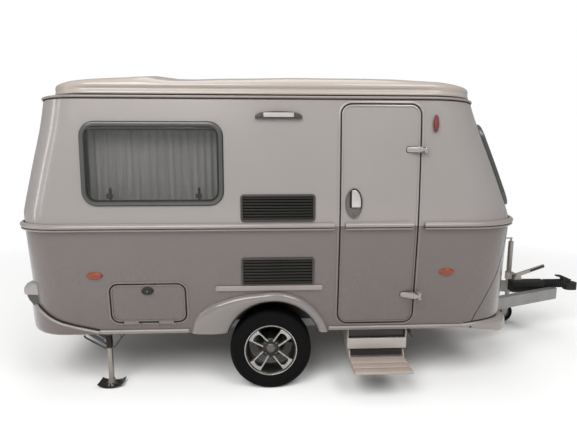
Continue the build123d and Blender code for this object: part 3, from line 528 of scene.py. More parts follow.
    bowl: Finish = Finish(
        "handle_bowl", (0.115, 0.103, 0.096), (0.15, 0.136, 0.128), 0.32, 0.06, 0.1, 0.3, 120.0, 0.00003,
    )
    paddle: Finish = Finish(
        "handle_paddle", (0.5, 0.475, 0.46), (0.58, 0.555, 0.54), 0.24, 0.05, 0.3, 0.4, 120.0, 0.00003,
    )
    foot: Finish = Finish(
        "foot_plastic", (0.008, 0.008, 0.009), (0.02, 0.019, 0.019), 0.4, 0.1, 0.0, 0.2, 80.0, 0.0002,
        low_darkening=0.25, low_darkening_top=0.2,
    )
    boss: Finish = Finish(
        "foot_boss", (0.2, 0.165, 0.15), (0.3, 0.26, 0.24), 0.45, 0.1, 0.3, 0.0, 60.0, 0.0002, low_darkening=0.3,
        low_darkening_top=0.2,
    )
    curtain: Finish = Cloth("curtain_weave", (0.5, 0.49, 0.485), (0.72, 0.705, 0.695), 0.85, 0.1)
    cushion: Finish = Cloth("cushion_weave", (0.16, 0.17, 0.19), (0.24, 0.25, 0.27), 0.9, 0.1, thread=500.0)
    bellows: Finish = Cloth("bellows_canvas", (0.3, 0.29, 0.27), (0.38, 0.37, 0.35), 0.85, 0.08, thread=600.0)
    wood: Finish = Finish(
        "pale_laminate", (0.5, 0.38, 0.25), (0.62, 0.49, 0.34), 0.45, 0.08, 0.0, 0.1, 22.0, 0.0001,
        (1, 1, 14),
    )
    worktop: Finish = Finish(
        "worktop_laminate", (0.16, 0.15, 0.14), (0.26, 0.25, 0.23), 0.4, 0.08, 0.0, 0.15, 180.0, 0.0001,
    )
    lino: Finish = Finish(
        "floor_covering", (0.2, 0.16, 0.12), (0.27, 0.22, 0.17), 0.5, 0.1, 0.0, 0.05, 40.0, 0.0002,
        (1, 12, 1),
    )
    ply: Finish = Finish(
        "sealed_ply", (0.09, 0.065, 0.045), (0.14, 0.105, 0.075), 0.65, 0.1, 0.0, 0.0, 30.0, 0.0004,
        (1, 9, 1),
    )
    lining: Finish = Finish(
        "cabin_lining", (0.55, 0.52, 0.47), (0.62, 0.59, 0.54), 0.6, 0.06, 0.0, 0.0, 220.0, 0.0001,
    )


class Store:
    """Makes each finish's material once."""

    def __init__(self) -> None:
        """Starts with nothing made."""
        self.made: dict[str, bpy.types.Material] = {}

    def get(self, finish: Finish) -> bpy.types.Material:
        """The material of a finish."""
        if finish.name not in self.made:
            self.made[finish.name] = finish.make()
        return self.made[finish.name]


PAINT = Paint()
STORE = Store()

# ---------------------------------------------------------------- workshop


class Shop:
    """Modelling operations on the active object, in metres from the axle line and the ground."""

    @staticmethod
    def clear() -> None:
        """Leaves edit mode and deselects everything."""
        if bpy.context.object and bpy.context.object.mode != "OBJECT":
            bpy.ops.object.mode_set(mode="OBJECT")
        bpy.ops.object.select_all(action="DESELECT")

    @classmethod
    def pick(cls, *pieces: bpy.types.Object) -> None:
        """Selects pieces and makes the first one active."""
        cls.clear()
        for piece in pieces:
            piece.select_set(True)
        bpy.context.view_layer.objects.active = pieces[0]

    @staticmethod
    def name(name: str) -> bpy.types.Object:
        """Names the active object."""
        piece = bpy.context.object
        piece.name = piece.data.name = name
        return piece

    @classmethod
    def edit(cls, piece: bpy.types.Object, everything: bool = True) -> None:
        """Opens a piece in edit mode.

        Args:
            piece: the piece.
            everything: selects all of it.
        """
        cls.pick(piece)
        bpy.ops.object.mode_set(mode="EDIT")
        bpy.ops.mesh.select_all(action="SELECT" if everything else "DESELECT")

    @classmethod
    def outward(cls, piece: bpy.types.Object) -> bpy.types.Object:
        """Merges doubles and turns all faces outwards."""
        cls.edit(piece)
        bpy.ops.mesh.remove_doubles(threshold=MERGE)
        bpy.ops.mesh.normals_make_consistent(inside=False)
        cls.clear()
        return piece

    @classmethod
    def apply(cls, piece: bpy.types.Object, kind: str, **settings: object) -> bpy.types.Object:
        """Adds a modifier and applies it.

        Args:
            piece: the piece.
            kind: the modifier's type.
            **settings: its properties.

        Returns:
            The piece.
        """
        cls.pick(piece)
        modifier = piece.modifiers.new(kind, kind)
        for key, value in settings.items():
            setattr(modifier, key, value)
        bpy.ops.object.modifier_apply(modifier=modifier.name)
        return piece

    @classmethod
    def cut(
        cls, piece: bpy.types.Object, *tools: bpy.types.Object, how: str = "DIFFERENCE",
        overlaps: bool = False,
    ) -> bpy.types.Object:
        """Cuts a piece with tools, which are used up.

        Args:
            piece: the piece.
            *tools: the closed cutters.
            how: the boolean operation.
            overlaps: whether the piece may overlap itself.

        Returns:
            The piece.
        """
        for tool in tools:
            cls.apply(piece, "BOOLEAN", object=tool, operation=how, solver="EXACT", use_self=overlaps)
            bpy.data.objects.remove(tool, do_unlink=True)
        return piece

    @classmethod
    def between(cls, piece: bpy.types.Object, low: float, high: float) -> bpy.types.Object:
        """Keeps what lies between two heights."""
        return cls.cut(piece, cls.block((-3, -1, -1), (3, 1, low)), cls.block((-3, -1, high), (3, 1, 4)))

    @classmethod
    def close_ends(cls, piece: bpy.types.Object) -> bpy.types.Object:
        """Fills a tube's open ends and turns its faces outwards.

        Args:
            piece: the tube, its seam merged.

        Returns:
            The same piece, closed.
        """
        cls.edit(piece, False)
        bpy.ops.mesh.select_non_manifold()
        bpy.ops.mesh.fill_holes(sides=0)
        bpy.ops.mesh.select_all(action="SELECT")
        bpy.ops.mesh.normals_make_consistent(inside=False)
        cls.clear()
        return piece

    @classmethod
    def rings(cls, rings: Sequence[Sequence[Place]]) -> bpy.types.Object:
        """A tube through closed rings that have the same number of points."""
        count, rows = len(rings[0]), len(rings) - 1
        return cls.surface(count, rows, lambda u, v: rings[round(v * rows)][round(u * count) % count])

    @classmethod
    def bevel(
        cls, piece: bpy.types.Object, width: float, segments: int = 3, angle: float = 35.0,
    ) -> bpy.types.Object:
        """Rounds the edges sharper than an angle in degrees."""
        return cls.apply(
            piece, "BEVEL", width=width, segments=segments, limit_method="ANGLE",
            angle_limit=math.radians(angle), harden_normals=False, use_clamp_overlap=True,
        )

    @classmethod
    def smooth(cls, piece: bpy.types.Object, angle: float = 34.0) -> bpy.types.Object:
        """Shades smooth across edges flatter than an angle in degrees."""
        cls.pick(piece)
        bpy.ops.object.shade_smooth_by_angle(angle=math.radians(angle))
        return piece

    @classmethod
    def join(cls, name: str, pieces: Sequence[bpy.types.Object]) -> bpy.types.Object:
        """Joins pieces into one under a new name."""
        cls.pick(*pieces)
        if len(pieces) > 1:
            bpy.ops.object.join()
        return cls.name(name)

    @classmethod
    def copy(cls, piece: bpy.types.Object) -> bpy.types.Object:
        """Copies a piece with its own mesh."""
        twin = piece.copy()
        twin.data = piece.data.copy()
        bpy.context.collection.objects.link(twin)
        return twin

    @classmethod
    def block(cls, low: Place, high: Place, bevel: float = 0.0, segments: int = 2) -> bpy.types.Object:
        """A rounded block between two corners.

        Args:
            low: lowest corner.
            high: highest corner.
            bevel: edge radius.
            segments: steps in the radius.

        Returns:
            The block.
        """
        cls.clear()
        middle = [(a + b) / 2 for a, b in zip(low, high)]
        bpy.ops.mesh.primitive_cube_add(size=1.0, location=middle)
        piece = bpy.context.object
        piece.scale = [b - a for a, b in zip(low, high)]
        bpy.ops.object.transform_apply(location=True, rotation=True, scale=True)
        if bevel:
            cls.edit(piece)
            bpy.ops.mesh.bevel(offset=bevel, segments=segments, profile=0.5, affect="EDGES")
            cls.clear()
        return piece

    @classmethod
    def plate(cls, outline: Sequence[Point], near: float, far: float) -> bpy.types.Object:
        """A flat plate of any outline, standing in x and z, between two depths in y.

        Args:
            outline: its corners as (x, z).
            near: y of one face.
            far: y of the other.

        Returns:
            The plate.
        """
        cls.clear()
        bpy.ops.mesh.primitive_circle_add(vertices=len(outline), fill_type="NGON")
        piece = bpy.context.object
        for vertex, (x, z) in zip(piece.data.vertices, outline):
            vertex.co = (x, near, z)
        cls.edit(piece)
        bpy.ops.mesh.extrude_region_move(TRANSFORM_OT_translate={"value": (0, far - near, 0)})
        bpy.ops.mesh.select_all(action="SELECT")
        bpy.ops.mesh.normals_make_consistent(inside=False)
        cls.clear()
        return piece

    @classmethod
    def turned(
        cls, profile: Sequence[Point], centre: Place, axis: Place = (0, 1, 0), steps: int = 64,
    ) -> bpy.types.Object:
        """A turned piece.

        Args:
            profile: closed outline as (distance along the axis, radius).
            centre: where the axis starts.
            axis: its direction.
            steps: steps round the axis.

        Returns:
            The turned piece.
        """
        cls.clear()
        along = Vector(axis).normalized()
        across = along.orthogonal().normalized()
        bpy.ops.mesh.primitive_circle_add(vertices=len(profile), fill_type="NOTHING")
        piece = bpy.context.object
        for vertex, (reach, radius) in zip(piece.data.vertices, profile):
            vertex.co = Vector(centre) + along * reach + across * radius
        cls.edit(piece)
        bpy.ops.mesh.spin(steps=steps, angle=math.tau, center=centre, axis=along, use_auto_merge=True)
        bpy.ops.mesh.select_all(action="SELECT")
        bpy.ops.mesh.remove_doubles(threshold=MERGE)
        bpy.ops.mesh.normals_make_consistent(inside=False)
        cls.clear()
        return piece

    @classmethod
    def surface(cls, across: int, along: int, shape: Callable[[float, float], Place]) -> bpy.types.Object:
        """A sheet of quads from a grid whose points are then moved.

        Args:
            across: faces in the first direction.
            along: faces in the second.
            shape: place of a point from two shares, nought to one.

        Returns:
            The sheet.
        """
        cls.clear()
        bpy.ops.mesh.primitive_grid_add(x_subdivisions=across, y_subdivisions=along, size=2.0)
        piece = bpy.context.object
        for vertex in piece.data.vertices:
            vertex.co = shape((vertex.co.x + 1) / 2, (vertex.co.y + 1) / 2)
        return piece

    @classmethod
    def rod(cls, points: Sequence[Place], radius: float) -> bpy.types.Object:
        """A round rod along straight runs with rounded corners.

        Args:
            points: the runs' ends.
            radius: the rod's radius.

        Returns:
            The rod as a mesh.
        """
        cls.clear()
        curve = bpy.data.curves.new("rod", "CURVE")
        curve.dimensions = "3D"
        curve.bevel_depth = radius
        curve.bevel_resolution = 3
        curve.use_fill_caps = True
        spline = curve.splines.new("POLY")
        spline.points.add(len(points) - 1)
        for spot, place in zip(spline.points, points):
            spot.co = (*place, 1.0)
        piece = bpy.data.objects.new("rod", curve)
        bpy.context.collection.objects.link(piece)
        cls.pick(piece)
        bpy.ops.object.convert(target="MESH")
        return bpy.context.object

    @classmethod
    def dice(cls, piece: bpy.types.Object, step: float, axes: str = "xz") -> bpy.types.Object:
        """Bisects a piece into strips, so that it can follow a curved wall.

        Args:
            piece: the piece.
            step: width of a strip.
            axes: the axes to cut across.

        Returns:
            The piece.
        """
        for letter in axes:
            index = "xyz".index(letter)
            values = [v.co[index] for v in piece.data.vertices]
            low, high = min(values), max(values)
            count = max(1, math.ceil((high - low) / step))
            normal = [0.0, 0.0, 0.0]
            normal[index] = 1.0
            for turn in range(1, count):
                place = [0.0, 0.0, 0.0]
                place[index] = low + (high - low) * turn / count
                cls.edit(piece)
                bpy.ops.mesh.bisect(plane_co=place, plane_no=normal)
        cls.clear()
        return piece


def ease(table: Sequence[Point], height: float) -> float:
    """Reads a smooth curve through table rows.

    Args:
        table: rows of (height, value), lowest first.
        height: where to read.

    Returns:
        The value there.
    """
    if height <= table[0][0]:
        return table[0][1]
    if height >= table[-1][0]:
        return table[-1][1]
    slopes = [(b[1] - a[1]) / (b[0] - a[0]) for a, b in zip(table, table[1:])]
    ends = [slopes[0], *[(a + b) / 2 if a * b > 0 else 0.0 for a, b in zip(slopes, slopes[1:])], slopes[-1]]
    for index, (low, high) in enumerate(zip(table, table[1:])):
        if height <= high[0]:
            span = high[0] - low[0]
            t = (height - low[0]) / span
            return (
                low[1] * (2 * t**3 - 3 * t**2 + 1)
                + ends[index] * span * (t**3 - 2 * t**2 + t)
                + high[1] * (3 * t**2 - 2 * t**3)
                + ends[index + 1] * span * (t**3 - t**2)
            )
    return table[-1][1]


def smooth_step(value: float) -> float:
    """Smooth step between nought and one."""
    value = min(1.0, max(0.0, value))
    return value * value * (3 - 2 * value)


def rounded(low: float, high: float, bottom: float, top: float, corner: float, steps: int = 8) -> list[Point]:
    """Outline of a rounded rectangle.

    Args:
        low: least first coordinate.
        high: greatest first coordinate.
        bottom: least second coordinate.
        top: greatest second coordinate.
        corner: corner radius.
        steps: steps in each corner.

    Returns:
        Its points in order.
    """
    centres = [
        (high - corner, top - corner, 0.0),
        (low + corner, top - corner, 90.0),
        (low + corner, bottom + corner, 180.0),
        (high - corner, bottom + corner, 270.0),
    ]
    points: list[Point] = []
    for x, z, start in centres:
        for step in range(steps + 1):
            turn = math.radians(start + 90.0 * step / steps)
            points.append((x + corner * math.cos(turn), z + corner * math.sin(turn)))
    return points


@dataclass(frozen=True)
class Opening:
    """A rounded rectangle in a wall, in metres: along the wall and above the ground."""

    low: float
    high: float
    bottom: float
    top: float
    corner: float

    def outline(self, grow: float = 0.0, steps: int = 8) -> list[Point]:
        """Its outline, grown by a margin."""
        corner = max(self.corner + grow, 0.003)
        return rounded(self.low - grow, self.high + grow, self.bottom - grow, self.top + grow, corner, steps)

    def plate(self, near: float, far: float, grow: float = 0.0, steps: int = 8) -> bpy.types.Object:
        """A plate of this outline between two depths."""
        return Shop.plate(self.outline(grow, steps), near, far)

    def ring(self, outer: float, inner: float, near: float, far: float, steps: int = 8) -> bpy.types.Object:
        """A frame between two margins of the outline, and two depths."""
        ring = self.plate(near, far, outer, steps)
        hole = self.plate(near - 0.05, far + 0.05, inner, steps)
        return Shop.cut(ring, hole)


DOOR = Opening(0.46, 0.998, 0.492, 1.993, 0.075)
SERVICE = Opening(-1.083, -0.569, 0.524, 0.808, 0.06)
SIDE_WINDOW = Opening(-1.2, -0.303, 1.339, 1.869, 0.09)
KITCHEN_WINDOW = Opening(0.3, 0.9, 1.44, 1.869, 0.08)
FRONT_WINDOW = Opening(-0.7, 0.7, 1.285, 1.885, 0.11)
REAR_WINDOW = Opening(-0.64, 0.64, 1.33, 1.87, 0.1)
LOCKER = Opening(-0.56, 0.56, 0.54, 0.9, 0.07)
UPPER_VENT = Opening(-0.193, 0.3, 1.225, 1.407, 0.024)
LOWER_VENT = Opening(-0.196, 0.299, 0.779, 0.98, 0.024)
PANEL_GAP = 0.01


class Form:
    """The body's plan outline at any height, in metres."""

    HALF: tuple[Point, ...] = (
        (0.445, 0.918), (0.8, 0.944), (1.1, 0.9655), (1.191, 0.97), (1.29, 0.97), (1.55, 0.9645),
        (1.8, 0.955), (2.02, 0.94), (2.06, 0.938),
    )
    REAR: tuple[Point, ...] = (
        (0.445, 1.718), (0.8, 1.7255), (1.191, 1.734), (1.262, 1.735), (1.333, 1.721), (1.414, 1.7),
        (1.654, 1.637), (1.813, 1.594), (2.02, 1.556), (2.06, 1.551),
    )
    FRONT: tuple[Point, ...] = (
        (0.445, 1.789), (0.685, 1.798), (0.967, 1.806), (1.191, 1.812), (1.25, 1.796), (1.338, 1.762),
        (1.461, 1.711), (1.625, 1.641), (1.802, 1.563), (1.949, 1.503), (2.02, 1.48), (2.06, 1.466),
    )
    REAR_CORNER: tuple[Point, ...] = ((0.445, 0.3), (1.191, 0.32), (2.02, 0.31))
    FRONT_CORNER: tuple[Point, ...] = ((0.445, 0.38), (1.191, 0.42), (2.02, 0.4))
    BOW = 0.045

    @classmethod
    def half(cls, height: float) -> float:
        """Half width at a height."""
        return ease(cls.HALF, height)

    @classmethod
    def reach(cls, y: float, height: float, end: End) -> float:
        """Distance of an end wall from the axle line, at a place across it."""
        front = end is End.FRONT
        reach = ease(cls.FRONT if front else cls.REAR, height)
        corner = ease(cls.FRONT_CORNER if front else cls.REAR_CORNER, height)
        half = cls.half(height)
        y = abs(y)
        start = half - corner
        if y <= start:
            return reach - cls.BOW * (y / half) ** 2
        base = reach - cls.BOW * (start / half) ** 2
        lean = 2 * cls.BOW * start / half**2
        share = min((y - start) / corner, 1.0)
        return base - lean * (y - start) * 0.5 - corner * (1 - math.sqrt(max(0.0, 1 - share**2)))

    @classmethod
    def outline(
        cls, height: float, grow: float = 0.0, sides: int = 26, corners: int = 14, ends: int = 14,
    ) -> list[Place]:
        """Plan outline at a height, anticlockwise from the middle of the right side.

        Args:
            height: above the ground.
            grow: offset of the outline.
            sides: steps along a side.
            corners: steps round a corner.
            ends: steps across an end.

        Returns:
            The outline's points.
        """
        half = cls.half(height)
        points: list[Place] = []
        for end in (End.FRONT, End.REAR):
            front = end is End.FRONT
            corner = ease(cls.FRONT_CORNER if front else cls.REAR_CORNER, height)
            start = half - corner
            run: list[Point] = []
            for step in range(corners + 1):
                turn = math.pi / 2 * step / corners
                y = start + corner * math.cos(turn)
                run.append((end.value * cls.reach(y, height, end), -y))
            for step in range(1, ends):
                y = -start + 2 * start * step / ends
                run.append((end.value * cls.reach(y, height, end), y))
            for step in range(corners + 1):
                turn = math.pi / 2 * (1 - step / corners)
                y = start + corner * math.cos(turn)
                run.append((end.value * cls.reach(y, height, end), y))
            points += [(x, y, height) for x, y in (run if front else [(x, -y) for x, y in run])]
            other = End.REAR if front else End.FRONT
            away = 1.0 if front else -1.0
            begin = run[0][0]
            finish = other.value * cls.reach(half, height, other)
            for step in range(1, sides):
                share = step / sides
                points.append((begin + (finish - begin) * share, away * half, height))
        if not grow:
            return points
        grown: list[Place] = []
        count = len(points)
        for index, (x, y, z) in enumerate(points):
            before, after = points[index - 1], points[(index + 1) % count]
            tangent = Vector((after[0] - before[0], after[1] - before[1], 0)).normalized()
            grown.append((x + tangent.y * grow, y - tangent.x * grow, z))
        return grown

    @classmethod
    def shell(
        cls, heights: Sequence[float], grow: float | Callable[[float], float] = 0.0,
    ) -> bpy.types.Object:
        """Open tube of the body between the first and last height.

        Args:
            heights: the rings' heights, lowest first.
            grow: offset, or offset by height.

        Returns:
            The tube, one face thick.
        """
        rings = []
        for height in heights:
            rings.append(cls.outline(height, grow(height) if callable(grow) else grow))
        return Shop.outward(Shop.rings(rings))

    @classmethod
    def half_at(cls, x: float, z: float, end: End) -> float:
        """Half width of the plan outline where it passes a place near one end.

        Args:
            x: place along the body.
            z: height.
            end: the nearer end.

        Returns:
            The half width there.
        """
        low, high = 0.0, cls.half(z)
        if cls.reach(high - 0.001, z, end) > abs(x):
            return high
        for _ in range(40):
            middle = (low + high) / 2
            if cls.reach(middle, z, end) > abs(x):
                low = middle
            else:
                high = middle
        return low

    @classmethod
    def on_side(cls, piece: bpy.types.Object, side: Side) -> bpy.types.Object:
        """Lays a piece made flat (x, offset, height) on a side wall."""
        for vertex in piece.data.vertices:
            x, off, z = vertex.co
            vertex.co = (x, side.value * (cls.half(z) + off), z)
        return Shop.outward(piece)

    @classmethod
    def on_end(cls, piece: bpy.types.Object, end: End) -> bpy.types.Object:
        """Lays a piece made flat (y, offset, height) on an end wall."""
        for vertex in piece.data.vertices:
            y, off, z = vertex.co
            vertex.co = (end.value * (cls.reach(y, z, end) + off), y, z)
        return Shop.outward(piece)


class Yard:
    """Hands finished pieces over to the frame."""

    SHIFT = Matrix.Translation((AXLE_X, 0.0, GROUND_Z))

    @classmethod
    def ship(
        cls,
        name: str,
        piece: bpy.types.Object,
        finish: Finish,
        body: str = "caravan_body",
        slot: str = "body_silver",
        stands_for: Sequence[str] = (),
        angle: float = 34.0,
    ) -> bpy.types.Object:
        """Names a piece, paints it, moves it into the frame and puts it on its body.

        Args:
            name: the piece's name.
            piece: the piece, in metres from the axle line and the ground.
            finish: its finish.
            body: the CAD body that it rides on, or nothing for fabric between two, which is then left
                unattached.
            slot: the record's material slot, or nothing where the record has none for it; not used.
            stands_for: CAD nodes that it replaces.
            angle: edges flatter than this are shaded smooth.

        Returns:
            The piece.
        """
        Shop.pick(piece)
        bpy.ops.object.transform_apply(location=True, rotation=True, scale=True)
        piece = Shop.name(name)
        Shop.smooth(piece, angle)
        piece.data.transform(cls.SHIFT)
        piece.data.update()
        piece.data.materials.clear()
        piece.data.materials.append(STORE.get(finish))
        if body:
            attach(piece, body)
        if stands_for:
            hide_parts(*stands_for)
        Shop.clear()
        LOG.info("%s: %d corners on %s", name, len(piece.data.vertices), body or "two bodies")
        return piece


# ---------------------------------------------------------------- bodywork


@dataclass
class Bodywork:
    """The fixed walls, rails, arch mouldings and bumper."""

    wall: float = 0.028
    well_x: float = 0.02
    well_z: float = 0.34
    well_radius: float = 0.35
    lip: float = 0.33
    slit: float = 0.0075
    seam: tuple[Point, ...] = (
        (1.39, 0.4), (1.405, 0.445), (1.446, 0.536), (1.487, 0.61), (1.558, 0.728), (1.612, 0.815),
        (1.655, 0.92), (1.69, 1.04), (1.715, 1.25),
    )
    belt_z: float = BELT_Z
    belt_half: float = 0.026
    valance: tuple[Point, ...] = (
        (-1.165, 0.466), (-1.24, 0.484), (-1.321, 0.504), (-1.4, 0.529), (-1.457, 0.552), (-1.51, 0.578),
        (-1.55, 0.603), (-1.6, 0.632), (-1.64, 0.65),
    )

    def build(self) -> None:
        """Builds every fixed outer piece."""
        self.build_lower()
        self.build_upper()
        self.build_belt()
        self.build_sill()
        self.build_arches()
        self.build_wells()
        self.build_bumper()

    def side_cutter(self, opening: Opening, side: Side, grow: float = 0.0) -> bpy.types.Object:
        """A cutter through one side wall."""
        low, high = sorted((side.value * 0.7, side.value * 1.2))
        return opening.plate(low, high, grow)

    def end_cutter(self, opening: Opening, end: End, grow: float = 0.0) -> bpy.types.Object:
        """A cutter through one end wall."""
        piece = opening.plate(-1.2, 1.2, grow)
        for vertex in piece.data.vertices:
            y, x, z = vertex.co
            vertex.co = (end.value * (1.7 + x * 0.5), y, z)
        return Shop.outward(piece)

    def ribbon(self) -> bpy.types.Object:
        """The thin curved cutter that parts the front lower panel."""
        half = self.slit / 2
        outline = [(x + half, z) for x, z in self.seam] + [(x - half, z) for x, z in reversed(self.seam)]
        return Shop.plate(outline, -1.2, 1.2)

    def build_lower(self) -> None:
        """The lower walls, cut for the door, flap, vent, wheels and gas locker."""
        heights = [0.445 + (BELT_Z - 0.445) * step / 14 for step in range(15)]
        shell = Form.shell(heights)
        Shop.apply(shell, "SOLIDIFY", thickness=self.wall, offset=-1.0, use_even_offset=True)
        tools = [
            self.side_cutter(DOOR, Side.RIGHT),
            self.side_cutter(SERVICE, Side.RIGHT),
            self.side_cutter(LOWER_VENT, Side.RIGHT, -0.012),
            self.end_cutter(LOCKER, End.FRONT),
            Shop.turned(
                [(-1.3, 0.0), (-1.3, self.well_radius), (1.3, self.well_radius), (1.3, 0.0)],
                (self.well_x, 0, self.well_z), steps=96,
            ),
            self.ribbon(),
        ]
        Shop.cut(shell, *tools)
        Yard.ship(
            "lower_walls", shell, PAINT.lower,
            stands_for=[f"lower_wall_{part}" for part in ("right", "left", "front", "rear")],
        )
        strip = Form.shell(heights, -0.003)
        Shop.apply(strip, "SOLIDIFY", thickness=0.02, offset=-1.0)
        Shop.cut(strip, self.ribbon(), how="INTERSECT")
        Yard.ship("panel_seam", strip, PAINT.rubber, slot="window_rubber")

    def build_upper(self) -> None:
        """The upper walls with their window, door and vent openings."""
        steps = (
            BELT_Z, 1.215, 1.24, 1.262, 1.285, 1.31, 1.345, 1.38, 1.42, 1.47, 1.53, 1.6, 1.68, 1.76, 1.84,
            1.92, 1.98, 2.02,
        )
        shell = Form.shell(steps)
        Shop.apply(shell, "SOLIDIFY", thickness=self.wall, offset=-1.0, use_even_offset=True)
        tools = [
            self.side_cutter(DOOR, Side.RIGHT),
            self.side_cutter(SIDE_WINDOW, Side.RIGHT, -0.02),
            self.side_cutter(SIDE_WINDOW, Side.LEFT, -0.02),
            self.side_cutter(KITCHEN_WINDOW, Side.LEFT, -0.02),
            self.side_cutter(UPPER_VENT, Side.RIGHT, -0.012),
            self.end_cutter(FRONT_WINDOW, End.FRONT, -0.02),
            self.end_cutter(REAR_WINDOW, End.REAR, -0.02),
        ]
        Shop.cut(shell, *tools)
        Yard.ship(
            "upper_walls", shell, PAINT.upper,
            stands_for=[f"upper_wall_{part}" for part in ("right", "left", "front", "rear")],
        )

    def band(
        self, heights: Sequence[float], grow: Callable[[float], float], depth: float,
    ) -> bpy.types.Object:
        """A moulding round the whole body."""
        band = Form.shell(heights, grow)
        return Shop.apply(band, "SOLIDIFY", thickness=depth, offset=-1.0, use_even_offset=True)

    def build_belt(self) -> None:
        """The belt rail: a rounded upper bead, a groove darkened by a black strip that paints its shade, and
        a lower lip, in three runs.
        """
        low, high = self.belt_z - self.belt_half, self.belt_z + self.belt_half
        shape = (
            (low, 0.006), (low + 0.003, 0.022), (low + 0.008, 0.0265), (low + 0.013, 0.022),
            (low + 0.0145, 0.01), (low + 0.0185, 0.01),
            (low + 0.02, 0.0225), (low + 0.025, 0.0285), (low + 0.031, 0.03), (low + 0.039, 0.0285),
            (low + 0.046, 0.022), (high, 0.008),
        )
        steps = [z for z, _ in shape]
        lookup = dict(shape)
        gap = Opening(0.425, 1.035, 0.9, 1.4, 0.004)
        on_door = Opening(0.5, 0.953, 0.9, 1.4, 0.01)
        body = self.band(steps, lambda z: lookup[z], 0.004)
        door = Shop.copy(body)
        Shop.cut(body, self.side_cutter(gap, Side.RIGHT))
        Shop.cut(door, self.side_cutter(on_door, Side.RIGHT), how="INTERSECT")
        Yard.ship("belt_rail_body", body, PAINT.rail, slot="trim_silver", stands_for=["belt_rail"], angle=50)
        Yard.ship("belt_rail_door", door, PAINT.rail, "door", "trim_silver", ["door_belt"], angle=50)
        # A black strip in the groove paints the groove's shade.
        shadow = self.band([low + 0.0135, low + 0.0195], lambda z: 0.0135, 0.009)
        strip = Shop.copy(shadow)
        Shop.cut(shadow, self.side_cutter(gap, Side.RIGHT))
        Shop.cut(strip, self.side_cutter(on_door, Side.RIGHT), how="INTERSECT")
        Yard.ship("belt_groove_body", shadow, PAINT.rubber, slot="window_rubber")
        Yard.ship("belt_groove_door", strip, PAINT.rubber, "door", "window_rubber")

    def build_sill(self) -> None:
        """The rails along the bottom edge of the side walls."""
        shape = (
            (0.446, 0.004), (0.448, 0.009), (0.457, 0.01), (0.46, 0.014), (0.466, 0.016), (0.472, 0.013),
            (0.475, 0.004),
        )
        lookup = dict(shape)
        rail = self.band([z for z, _ in shape], lambda z: lookup[z], 0.0035)
        for low, high in ((-2.5, -1.165), (-0.56, 0.405), (1.4, 2.5)):
            Shop.cut(rail, Shop.block((low, -1.3, 0.3), (high, 1.3, 0.6)))
        Yard.ship("sill_rails", rail, PAINT.rail, slot="trim_silver", stands_for=["sill_rail"], angle=50)

    def arch_outline(self, radius: float, shoulder: Point, tail: Point, floor: float) -> list[Point]:
        """Half-round arch with a long rear tail.

        Args:
            radius: of the round part.
            shoulder: where the round part ends at the rear.
            tail: foot of the rear tail.
            floor: height of both feet.

        Returns:
            Points from the front foot over the top to the tail.
        """
        points: list[Point] = []
        start = math.asin((floor - self.well_z) / radius)
        for step in range(25):
            turn = start + (math.pi * 0.56 - start) * step / 24
            points.append((self.well_x + radius * math.cos(turn), self.well_z + radius * math.sin(turn)))
        x0, z0 = points[-1]
        for step in range(1, 9):
            share = step / 8
            points.append(
                (
                    x0 + (shoulder[0] - x0) * share,
                    z0 + (shoulder[1] - z0) * share + 0.016 * math.sin(math.pi * share),
                )
            )
        for step in range(1, 11):
            share = step / 10
            bow = 0.03 * math.sin(math.pi * share)
            points.append(
                (
                    shoulder[0] + (tail[0] - shoulder[0]) * share - bow,
                    shoulder[1] + (tail[1] - shoulder[1]) * share + bow * 0.7,
                )
            )
        return points

    def build_arches(self) -> None:
        """The raised moulding over each wheel, with a rounded face and a rolled lip."""
        outer = self.arch_outline(0.396, (-0.4, 0.65), (-0.545, 0.446), 0.446)
        for side in Side:
            face = Form.on_side(self.fender(outer), side)
            Yard.ship(
                f"arch_moulding_{side.name.lower()}", face, PAINT.arch,
                stands_for=[f"wheel_arch_{side.name.lower()}"], angle=SMOOTH,
            )
            start = math.asin((0.446 - self.well_z) / self.lip)
            points = []
            for step in range(49):
                turn = start + (math.pi - 2 * start) * step / 48
                z = self.well_z + (self.lip + 0.001) * math.sin(turn)
                points.append(
                    (
                        self.well_x + (self.lip + 0.001) * math.cos(turn),
                        side.value * (Form.half(z) + 0.012), z,
                    )
                )
            lip = Shop.rod(points, 0.005)
            Yard.ship(f"arch_lip_{side.name.lower()}", lip, PAINT.black, slot="vent_plastic")

    def fender(self, outer: Sequence[Point]) -> bpy.types.Object:
        """Sweeps a bulged section between the outer outline and the round lip.

        Args:
            outer: outline from the front foot to the tail.

        Returns:
            The closed fender, flat against the wall.
        """
        walked = [0.0]
        for before, after in zip(outer, outer[1:]):
            walked.append(walked[-1] + math.dist(before, after))
        stations, around = 72, 20
        start = math.asin((0.446 - self.well_z) / self.lip)
        rows: list[list[Place]] = []
        for station in range(stations + 1):
            share = station / stations
            goal = share * walked[-1]
            index = max(i for i in range(len(walked) - 1) if walked[i] <= goal + 1e-9)
            part = (goal - walked[index]) / (walked[index + 1] - walked[index])
            (x0, z0), (x1, z1) = outer[index], outer[index + 1]
            far = (x0 + (x1 - x0) * part, z0 + (z1 - z0) * part)
            turn = start + (math.pi - 2 * start) * share
            near = (self.well_x + self.lip * math.cos(turn), self.well_z + self.lip * math.sin(turn))
            row: list[Place] = []
            for step in range(around):
                if step <= 14:
                    across = 0.5 - 0.5 * math.cos(math.pi * (step / 14))
                    off = -0.004 + 0.045 * (1 - abs(2 * across - 1) ** 2.5) ** (1 / 2.5)
                else:
                    across, off = 1 - (step - 14) / 6, -0.004
                row.append((far[0] + (near[0] - far[0]) * across, off, far[1] + (near[1] - far[1]) * across))
            rows.append(row)
        return self.capped(Shop.rings(rows))

    @staticmethod
    def capped(skin: bpy.types.Object) -> bpy.types.Object:
        """Welds a swept skin's seam and closes its two ends."""
        return Shop.close_ends(Shop.outward(skin))

